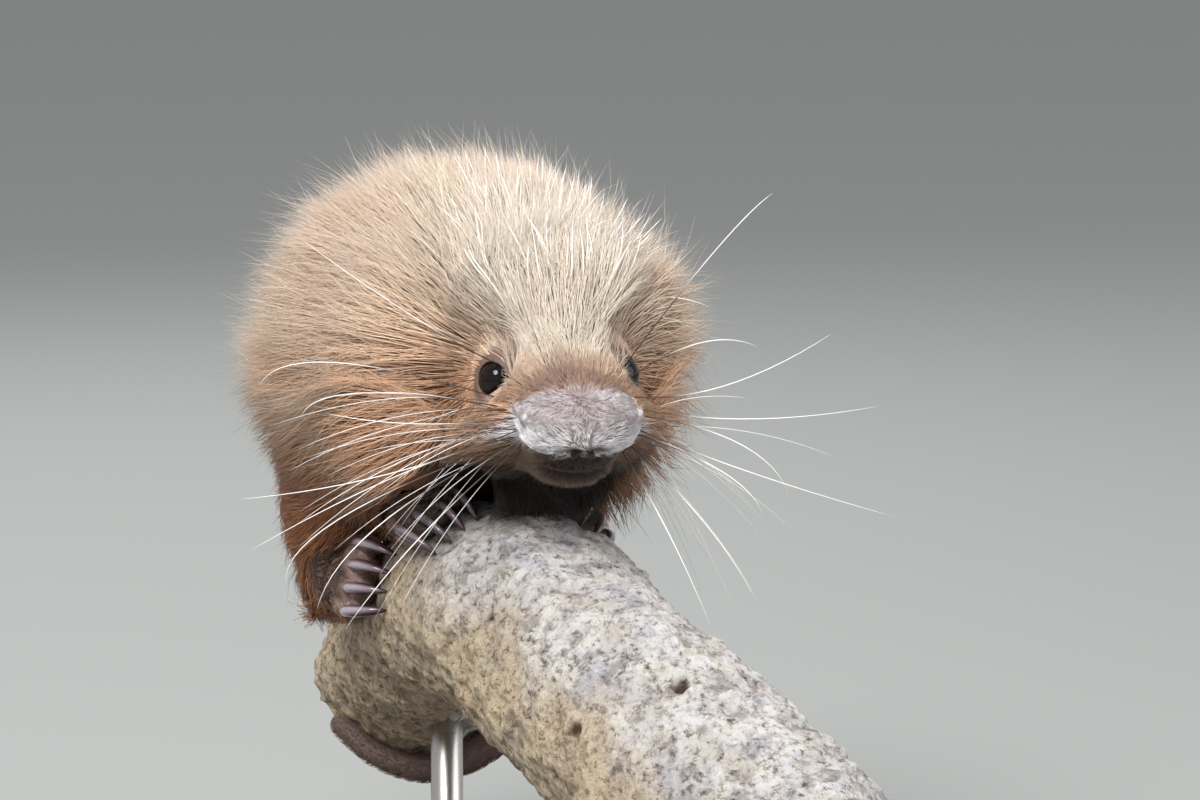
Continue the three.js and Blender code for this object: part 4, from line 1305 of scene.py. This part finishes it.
def quill_paths():
    random = np.random.default_rng(QUILL["seed"])

    def wanted(points):
        right, forward, up = in_head(points).T
        crown = smooth(20, 8, np.abs(right)) * smooth(0, 8, up) * (forward > -62)
        back = 0.04 * smooth(TOP + 40, TOP + 55, points[:, 2])
        return np.maximum(crown, back) * (nearest(points, EYE_PLACES) > 12) * (forward < -21)

    roots = scatter(skin_points, skin_faces, QUILL["count"], QUILL["seed"], wanted)
    depth = hair_depth(roots) * QUILL["rise"] * mix(0.8, 1.05, random.random(len(roots)))
    grown = hair_length(roots) / COAT["body"]
    along = QUILL["length"] * grown * mix(0.75, 1.1, random.random(len(roots)))
    return courses(roots, along, depth, 0.2 * random.standard_normal(len(roots)), QUILL["steps"]), random


quills, quill_random = quill_paths()
quill_half = QUILL["half"] * mix(0.6, 1.3, quill_random.random(len(quills)))
place(hairs_along("quills", quills, quill_half, 5, "quill"), "coat")

# Whiskers, as the camera sees them: root in the head's frame, then right of the nose, above it and nearer
WHISKERS = [
    ((-17, 15, 10), (-37.5, 26.0, 8), (-62.3, 43.2, 4)),
    ((-12, 15, 3), (-54.0, 15.1, 8), (-71.0, 10.1, 6)),
    ((-9, 14, 2), (-47.2, 8.3, 12), (-61.2, 3.4, 12)),
    ((-6, 13, 1), (-34.4, 1.4, 14), (-55.6, 3.8, 14)),
    ((-5, 13, -2), (-42.5, -9.9, 14), (-74.9, -15.3, 12)),
    ((-6, 12, -4), (-39.8, -10.1, 12), (-73.1, -27.0, 10)),
    ((-8, 13, -6), (-53.3, -20.0, 8), (-65.0, -34.4, 6)),
    ((-10, 13, -7), (-45.0, -22.0, 10), (-58.0, -40.0, 8)),
    ((-9, 12, -8), (-35.0, -24.0, 12), (-52.0, -45.0, 10)),
    ((-16, -15, 9), (31.1, 40.3, 4), (44.1, 53.3, 2)),
    ((-13, -15, 6), (27.2, 19.4, 6), (40.5, 18.7, 4)),
    ((-10, -14, 4), (32.4, 9.7, 8), (57.4, 21.8, 4)),
    ((-7, -13, 3), (36.5, 2.5, 10), (67.7, 5.4, 6)),
    ((-6, -13, 1), (34.9, -2.3, 10), (47.3, -14.0, 8)),
    ((-5, -13, -1), (37.6, -9.0, 10), (71.3, -19.4, 6)),
    ((-6, -12, -3), (32.4, -9.2, 8), (41.6, -19.4, 6)),
    ((-7, -12, -5), (28.0, -20.0, 8), (40.0, -38.0, 6)),
    ((-8, -11, -6), (20.0, -22.0, 9), (30.0, -44.0, 7)),
]
WHISKER = {"more": 40, "seed": 51, "half": 0.155, "steps": 15, "sunk": 0.75}


def whisker_ends():
    """Root, middle and tip of each whisker: those seen in front, then a fan of finer ones"""
    random = np.random.default_rng(WHISKER["seed"])
    ends = [(on_head(*root), seen_at(*middle), seen_at(*tip)) for root, middle, tip in WHISKERS]
    for number in range(WHISKER["more"]):
        side = 1 if number % 2 else -1
        root = on_head(random.uniform(-12, -3), side * random.uniform(11.5, 13.5), random.uniform(-7, 3))
        spread = math.radians(random.uniform(-62, 12))
        reach = random.uniform(26, 58)
        out = RIGHT * side * math.cos(spread) + UP * math.sin(spread) - FORWARD * random.uniform(-0.1, 0.7)
        tip = root + unit(out) * reach - np.array((0, 0, 0.14 * reach))
        middle = mix(root, tip, 0.5) + np.array((0, 0, 0.07 * reach))
        ends.append((root, middle, tip))
    return np.array(ends)


def whisker_paths():
    ends = whisker_ends()
    roots = onto(ends[:, 0], HAIRY, 3)
    roots = roots - unit(slope(roots, HAIRY)) * WHISKER["sunk"]
    middles, tips = ends[:, 1], ends[:, 2]
    bend = 2 * middles - (roots + tips) / 2
    t = np.linspace(0, 1, WHISKER["steps"])[None, :, None]
    return (1 - t) ** 2 * roots[:, None] + 2 * t * (1 - t) * bend[:, None] + t ** 2 * tips[:, None]


whiskers = off_the_bark(whisker_paths(), 1.0)
whisker_half = np.where(np.arange(len(whiskers)) < len(WHISKERS), 1.0, 0.7) * WHISKER["half"]
place(hairs_along("whiskers", whiskers, whisker_half, 5, "whisker"), "coat")


# Eyes
def eye_mesh(name, centre, out, around=40, up=26):
    """A ball that bulges a little where it looks out"""
    angles = round_angles(around)
    levels = np.linspace(0, np.pi, up)[1:-1]
    ring = np.stack([np.sin(levels)[:, None] * np.cos(angles), np.sin(levels)[:, None] * np.sin(angles),
                     np.repeat(np.cos(levels)[:, None], around, 1)], -1).reshape(-1, 3)
    unit_ball = np.concatenate([ring, [(0, 0, 1), (0, 0, -1)]])
    bulge = EYE["bulge"] * smooth(0.55, 1.0, unit_ball @ out)
    points = unit_ball * (EYE["radius"] + bulge)[:, None] + centre
    rings = np.arange(len(ring)).reshape(len(levels), around)
    faces = [*band(rings), fan(rings[0], len(ring))[:, ::-1], fan(rings[-1], len(ring) + 1)]
    return new_mesh(name, points, np.concatenate(faces)[:, ::-1], FINISH["eye"])


for side, sign in SIDES.items():
    place(eye_mesh("eyeball_" + side, EYES[side], look_axes(sign, EYE_LOOK)[2]), "eye", ["eye_" + side])


# Claws: hooked tapered horns, one mesh for each foot
def claw_points(limb, index, t):
    _, turn, tip = toe_line(limb, index)
    bend = CLAW["bend"] * limb.size
    angle = mix(CLAW["rise"], CLAW["fall"], t)
    forward = bend * (math.sin(CLAW["rise"]) - np.sin(angle))
    rise = bend * (np.cos(angle) - math.cos(CLAW["rise"]))
    return on_branch(tip + CLAW["sunk"] - forward, turn, CLAW["up"] + rise)


# Dark horn, and a pale painted highlight along each claw's back
CLAW_TONE_AND_HIGHLIGHT = {"dark": np.array((0.050, 0.014, 0.024)), "pale": np.array((0.56, 0.48, 0.54))}


def claws_mesh(limb, around=14, along=18):
    """The claws of one foot, grooved underneath, with a painted highlight as a pale line along the back of
    each
    """
    outward = on_branch(limb.y, limb.turn, 0.0) - branch_line(limb.y)
    t = np.linspace(-0.12, 1, along)
    angles = round_angles(around)
    points, faces, colours = [], [], []
    for index in range(FOOT["toes"]):
        line = claw_points(limb, index, t)
        ahead = unit(np.gradient(line, axis=0))
        side = unit(np.cross(ahead, outward))
        top = np.cross(side, ahead)
        width = mix(CLAW["radius"], CLAW["point"], np.clip(t, 0, 1) ** CLAW["taper"]) * limb.size
        width[-1] *= 0.3
        groove = 1 - CLAW["groove"] * np.maximum(0, -np.sin(angles)) ** 6
        across = side[:, None] * CLAW["wide"] * np.cos(angles)[None, :, None]
        upward = top[:, None] * CLAW["high"] * np.sin(angles)[None, :, None]
        ring = line[:, None] + width[:, None, None] * groove[None, :, None] * (across + upward)
        start = sum(len(p) for p in points)
        points.append(np.concatenate([ring.reshape(-1, 3), line[:1], line[-1:]]))
        rings = np.arange(around * along).reshape(along, around) + start
        middle = start + around * along
        faces += [*band(rings), fan(rings[0], middle)[:, ::-1], fan(rings[-1], middle + 1)]
        # Painted highlight: a pale line along the top of each claw, fading towards the tip
        pale = (np.clip(np.sin(angles), 0, 1) ** 6)[None] * smooth(1.1, 0.3, t)[:, None]
        shade = mix(CLAW_TONE_AND_HIGHLIGHT["dark"], CLAW_TONE_AND_HIGHLIGHT["pale"], 0.9 * pale.reshape(-1, 1))
        colours.append(np.concatenate([shade, shade[:1], shade[-1:]]))
    mesh = new_mesh("claws_" + limb.name, np.concatenate(points), np.concatenate(faces), FINISH["claw"])
    tint(mesh, np.concatenate(colours))
    return mesh


for limb in LIMBS:
    claws = [f"claw_{limb.name}_{index}" for index in range(1, FOOT["toes"] + 1)]
    place(claws_mesh(limb), "claw_horn", claws)

# Bark: lumps, plates and grit, and beetle holes, each along the branch, round it, how wide and how deep
BARK = {"around": 240, "along": 330, "lump": 0.60, "plate": 1.0, "grit": 0.75}
HOLES = [(-84, -20, 2.6, 1.5), (-100, 28, 3.2, 1.8), (-60, 40, 1.8, 1.2), (-38, -62, 1.5, 1.0),
         (-74, -75, 2.2, 1.4), (88, 60, 2.4, 1.4), (72, -95, 2.8, 1.6)]

# Sawn ends: shares of the radius that have a ring of points, their step in from the bark and the saw's marks
SAWN = {"shares": (1.0, 0.97, 0.9, 0.8, 0.68, 0.55, 0.42, 0.3, 0.18, 0.08), "inset": 0.9, "marks": 0.006}


def bark_relief(points):
    """Height of the bark at each place, how much it is a raised plate and how deep in a hole it is"""
    broad = smooth(-0.12, 0.06, noise(points * (1, 0.8, 1), 6))
    plate = 0.6 * broad + 0.4 * smooth(-0.1, 0.1, noise(points + 70, 3.2))
    height = noise(points * (1, 0.7, 1), 11) * BARK["lump"] + noise(points + 90, 2.1) * BARK["grit"]
    height = height + (plate - 0.6) * BARK["plate"]
    height = height * mix(0.35, 1, smooth(10, 20, nearest(points, FOOT_PLACES)))
    hollow, deep = np.zeros(len(points)), np.zeros(len(points))
    for y, turn, reach, depth in HOLES:
        sunk = smooth(reach, reach * 0.5, np.linalg.norm(points - on_branch(y, turn, 0.0), axis=1))
        hollow = np.maximum(hollow, sunk)
        deep = np.maximum(deep, depth * sunk)
    return height - deep, plate, hollow


def sawn_end(end, outer, turns, flip, start):
    """Points and faces that close the branch, from the bark's last ring to the heart"""
    points, faces, previous = [], [], outer
    radius = branch_radius(end, np.radians(turns))
    for number, share in enumerate(SAWN["shares"]):
        marks = flip * SAWN["marks"] * np.sin(turns / 7 + share * 40)
        points.append(on_branch(end + marks, turns, (share - 1) * radius - SAWN["inset"]))
        ring = np.arange(len(turns)) + start + number * len(turns)
        quad = np.stack([previous, ring, np.roll(ring, -1), np.roll(previous, -1)], 1)[:, ::flip]
        faces += [quad[:, (0, 1, 2)], quad[:, (0, 2, 3)]]
        previous = ring
    points.append(branch_line(end)[None])
    faces.append(fan(previous, start + len(SAWN["shares"]) * len(turns))[:, ::-flip])
    return np.concatenate(points), faces


def branch_mesh():
    """The bark's grid and the two sawn ends, with what the bark's material reads at every point"""
    rows = np.linspace(BRANCH["front"], BRANCH["rear"], BARK["along"])
    turns = np.linspace(0, 360, BARK["around"], endpoint=False)
    y, turn = (grid.ravel() for grid in np.meshgrid(rows, turns, indexing="ij"))
    bare = on_branch(y, turn, 0.0)
    relief, plate, hollow = bark_relief(bare)
    from_end = np.minimum(y - BRANCH["front"], BRANCH["rear"] - y)
    points = [on_branch(y, turn, relief - 0.8 * smooth(1.5, 0.0, from_end))]
    count = len(y)
    rings = np.arange(count).reshape(len(rows), len(turns))
    faces = band(rings)
    for end, outer, flip in ((rows[0], rings[0], 1), (rows[-1], rings[-1], -1)):
        more, closing = sawn_end(end, outer, turns, flip, sum(len(p) for p in points))
        points.append(more)
        faces += closing
    mesh = new_mesh("branch", np.concatenate(points), np.concatenate(faces), FINISH["bark"])
    buff = smooth(-35, -80, np.where(turn > 180, turn - 360, turn) + 22 * noise(bare, 16))
    heart = np.append(np.repeat(SAWN["shares"], len(turns)), 0)
    for label, values, at_end in (("sawn", np.zeros(count), np.ones(len(heart))),
                                  ("heart", np.zeros(count), heart),
                                  ("hollow", hollow, np.zeros(len(heart))),
                                  ("buff", buff, np.zeros(len(heart))),
                                  ("plate", plate, np.zeros(len(heart)))):
        measure_points(mesh, label, np.concatenate([values, at_end, at_end]))
    return mesh


place(branch_mesh(), "bark", ["perch_branch"])

# Stand: a flat base with rounded corners, and two rods up to the branch
BASE = {"width": 150, "length": 200, "height": 12, "corner": 24, "edge": 1.5}
ROD = {"radius": 4, "front": -62, "rear": 46, "gap": 0.3, "sunk": 8}

# A rod's foot: radius and height of each ring
ROD_FOOT = [(6.4, 0.0), (7.0, 0.3), (7.0, 3.6), (6.4, 4.6), (5.2, 5.0), (4.4, 5.2), (4.0, 5.8)]


def rounded_outline(inset, steps=14):
    """The base's outline, drawn in by inset"""
    half = np.array((BASE["width"] / 2, BASE["length"] / 2)) - BASE["corner"]
    points = []
    for quarter, (sx, sy) in enumerate(((1, 1), (-1, 1), (-1, -1), (1, -1))):
        angles = np.linspace(quarter, quarter + 1, steps) * math.pi / 2
        ring = np.stack([np.cos(angles), np.sin(angles)], 1) * (BASE["corner"] - inset)
        points.append(ring + half * (sx, sy))
    return np.concatenate(points)


def stacked(name, outlines, heights, finish_name):
    """Outlines one above the other, joined into a closed form"""
    count = len(outlines[0])
    levels = [np.column_stack([ring, np.full(count, z)]) for ring, z in zip(outlines, heights)]
    points = np.concatenate(levels + [levels[0].mean(0)[None], levels[-1].mean(0)[None]])
    rings = np.arange(count * len(levels)).reshape(len(levels), count)
    middle = count * len(levels)
    faces = [*band(rings), fan(rings[0], middle)[:, ::-1], fan(rings[-1], middle + 1)]
    return new_mesh(name, points, np.concatenate(faces), FINISH[finish_name])


def base_mesh():
    """The base, with its lower and upper edges rounded"""
    turn = np.linspace(0, math.pi / 2, 5)
    edge, top = BASE["edge"], BASE["height"]
    insets = [edge + 0.4, *(edge * (1 - np.sin(turn))), *(edge * (1 - np.cos(turn))), edge + 0.6]
    heights = [0.0, *(edge * (1 - np.cos(turn))), *(top - edge + edge * np.sin(turn)), top]
    return stacked("base", [rounded_outline(inset) for inset in insets], heights, "stand_wood")


def rod_mesh(name, y):
    """A rod from its foot on the base up into the branch"""
    at = branch_line(y)
    foot, top = BASE["height"] + ROD["gap"], at[2] - ROD["sunk"]
    angles = round_angles(40)
    circle = np.stack([np.cos(angles), np.sin(angles)], 1)
    outlines = [circle * radius + at[:2] for radius in [*(ring[0] for ring in ROD_FOOT), ROD["radius"]]]
    return stacked(name, outlines, [foot + rise for _, rise in ROD_FOOT] + [top], "stand_metal")


place(base_mesh(), "stand_wood", ["stand_base"])
for end in ("front", "rear"):
    place(rod_mesh("rod_" + end, ROD[end]), "stand_metal", ["stand_rod_" + end])


# Floor, light and camera: each lamp's place and size in metres, and its power
FLOOR = {"half": 9000, "tone": (0.34, 0.35, 0.335)}
LAMPS = [
    ("key", (-0.70, -0.62, 1.10), 0.7, 23),
    ("fill", (0.9, -0.8, 0.6), 1.0, 5),
    ("back", (0.2, 1.0, 0.9), 0.8, 6),
]
ROOM_LIGHT = {"Color": (0.96, 0.97, 1.0, 1), "Strength": 0.55}


def floor():
    made, _, _ = finish("floor", FLOOR["tone"], Roughness=0.8)
    corners = np.array([(-1, -1, 0), (1, -1, 0), (1, 1, 0), (-1, 1, 0)]) * FLOOR["half"]
    in_scene("floor", new_mesh("floor", corners, np.array([(0, 1, 2, 3)]), made))


def lights():
    for name, where, size, power in LAMPS:
        lamp = bpy.data.lights.new(name, "AREA")
        lamp.shape = "DISK"
        lamp.size = size
        lamp.energy = power
        holder = in_scene(name, lamp)
        holder.location = where
        aim = Vector(NOSE * MM) - Vector(where)
        holder.rotation_euler = aim.to_track_quat("-Z", "Y").to_euler()
    world = bpy.data.worlds.new("room")
    world.use_nodes = True
    for socket, value in ROOM_LIGHT.items():
        world.node_tree.nodes["Background"].inputs[socket].default_value = value
    bpy.context.scene.world = world
    bpy.context.scene.view_settings.view_transform = "Standard"


def camera():
    made = bpy.data.cameras.new("camera")
    made.sensor_width = CAMERA["sensor"]
    made.lens = CAMERA["sensor"] * CAMERA["distance"] / CAMERA["width"]
    made.clip_start, made.clip_end = 0.05, 50
    holder = in_scene("camera", made)
    aim = seen_at(*CAMERA["aim"], 0)
    holder.location = Vector((aim + CAM_BACK * CAMERA["distance"]) * MM)
    holder.rotation_euler = Vector(-CAM_BACK).to_track_quat("-Z", "Y").to_euler()
    bpy.context.scene.camera = holder


floor()
lights()
camera()
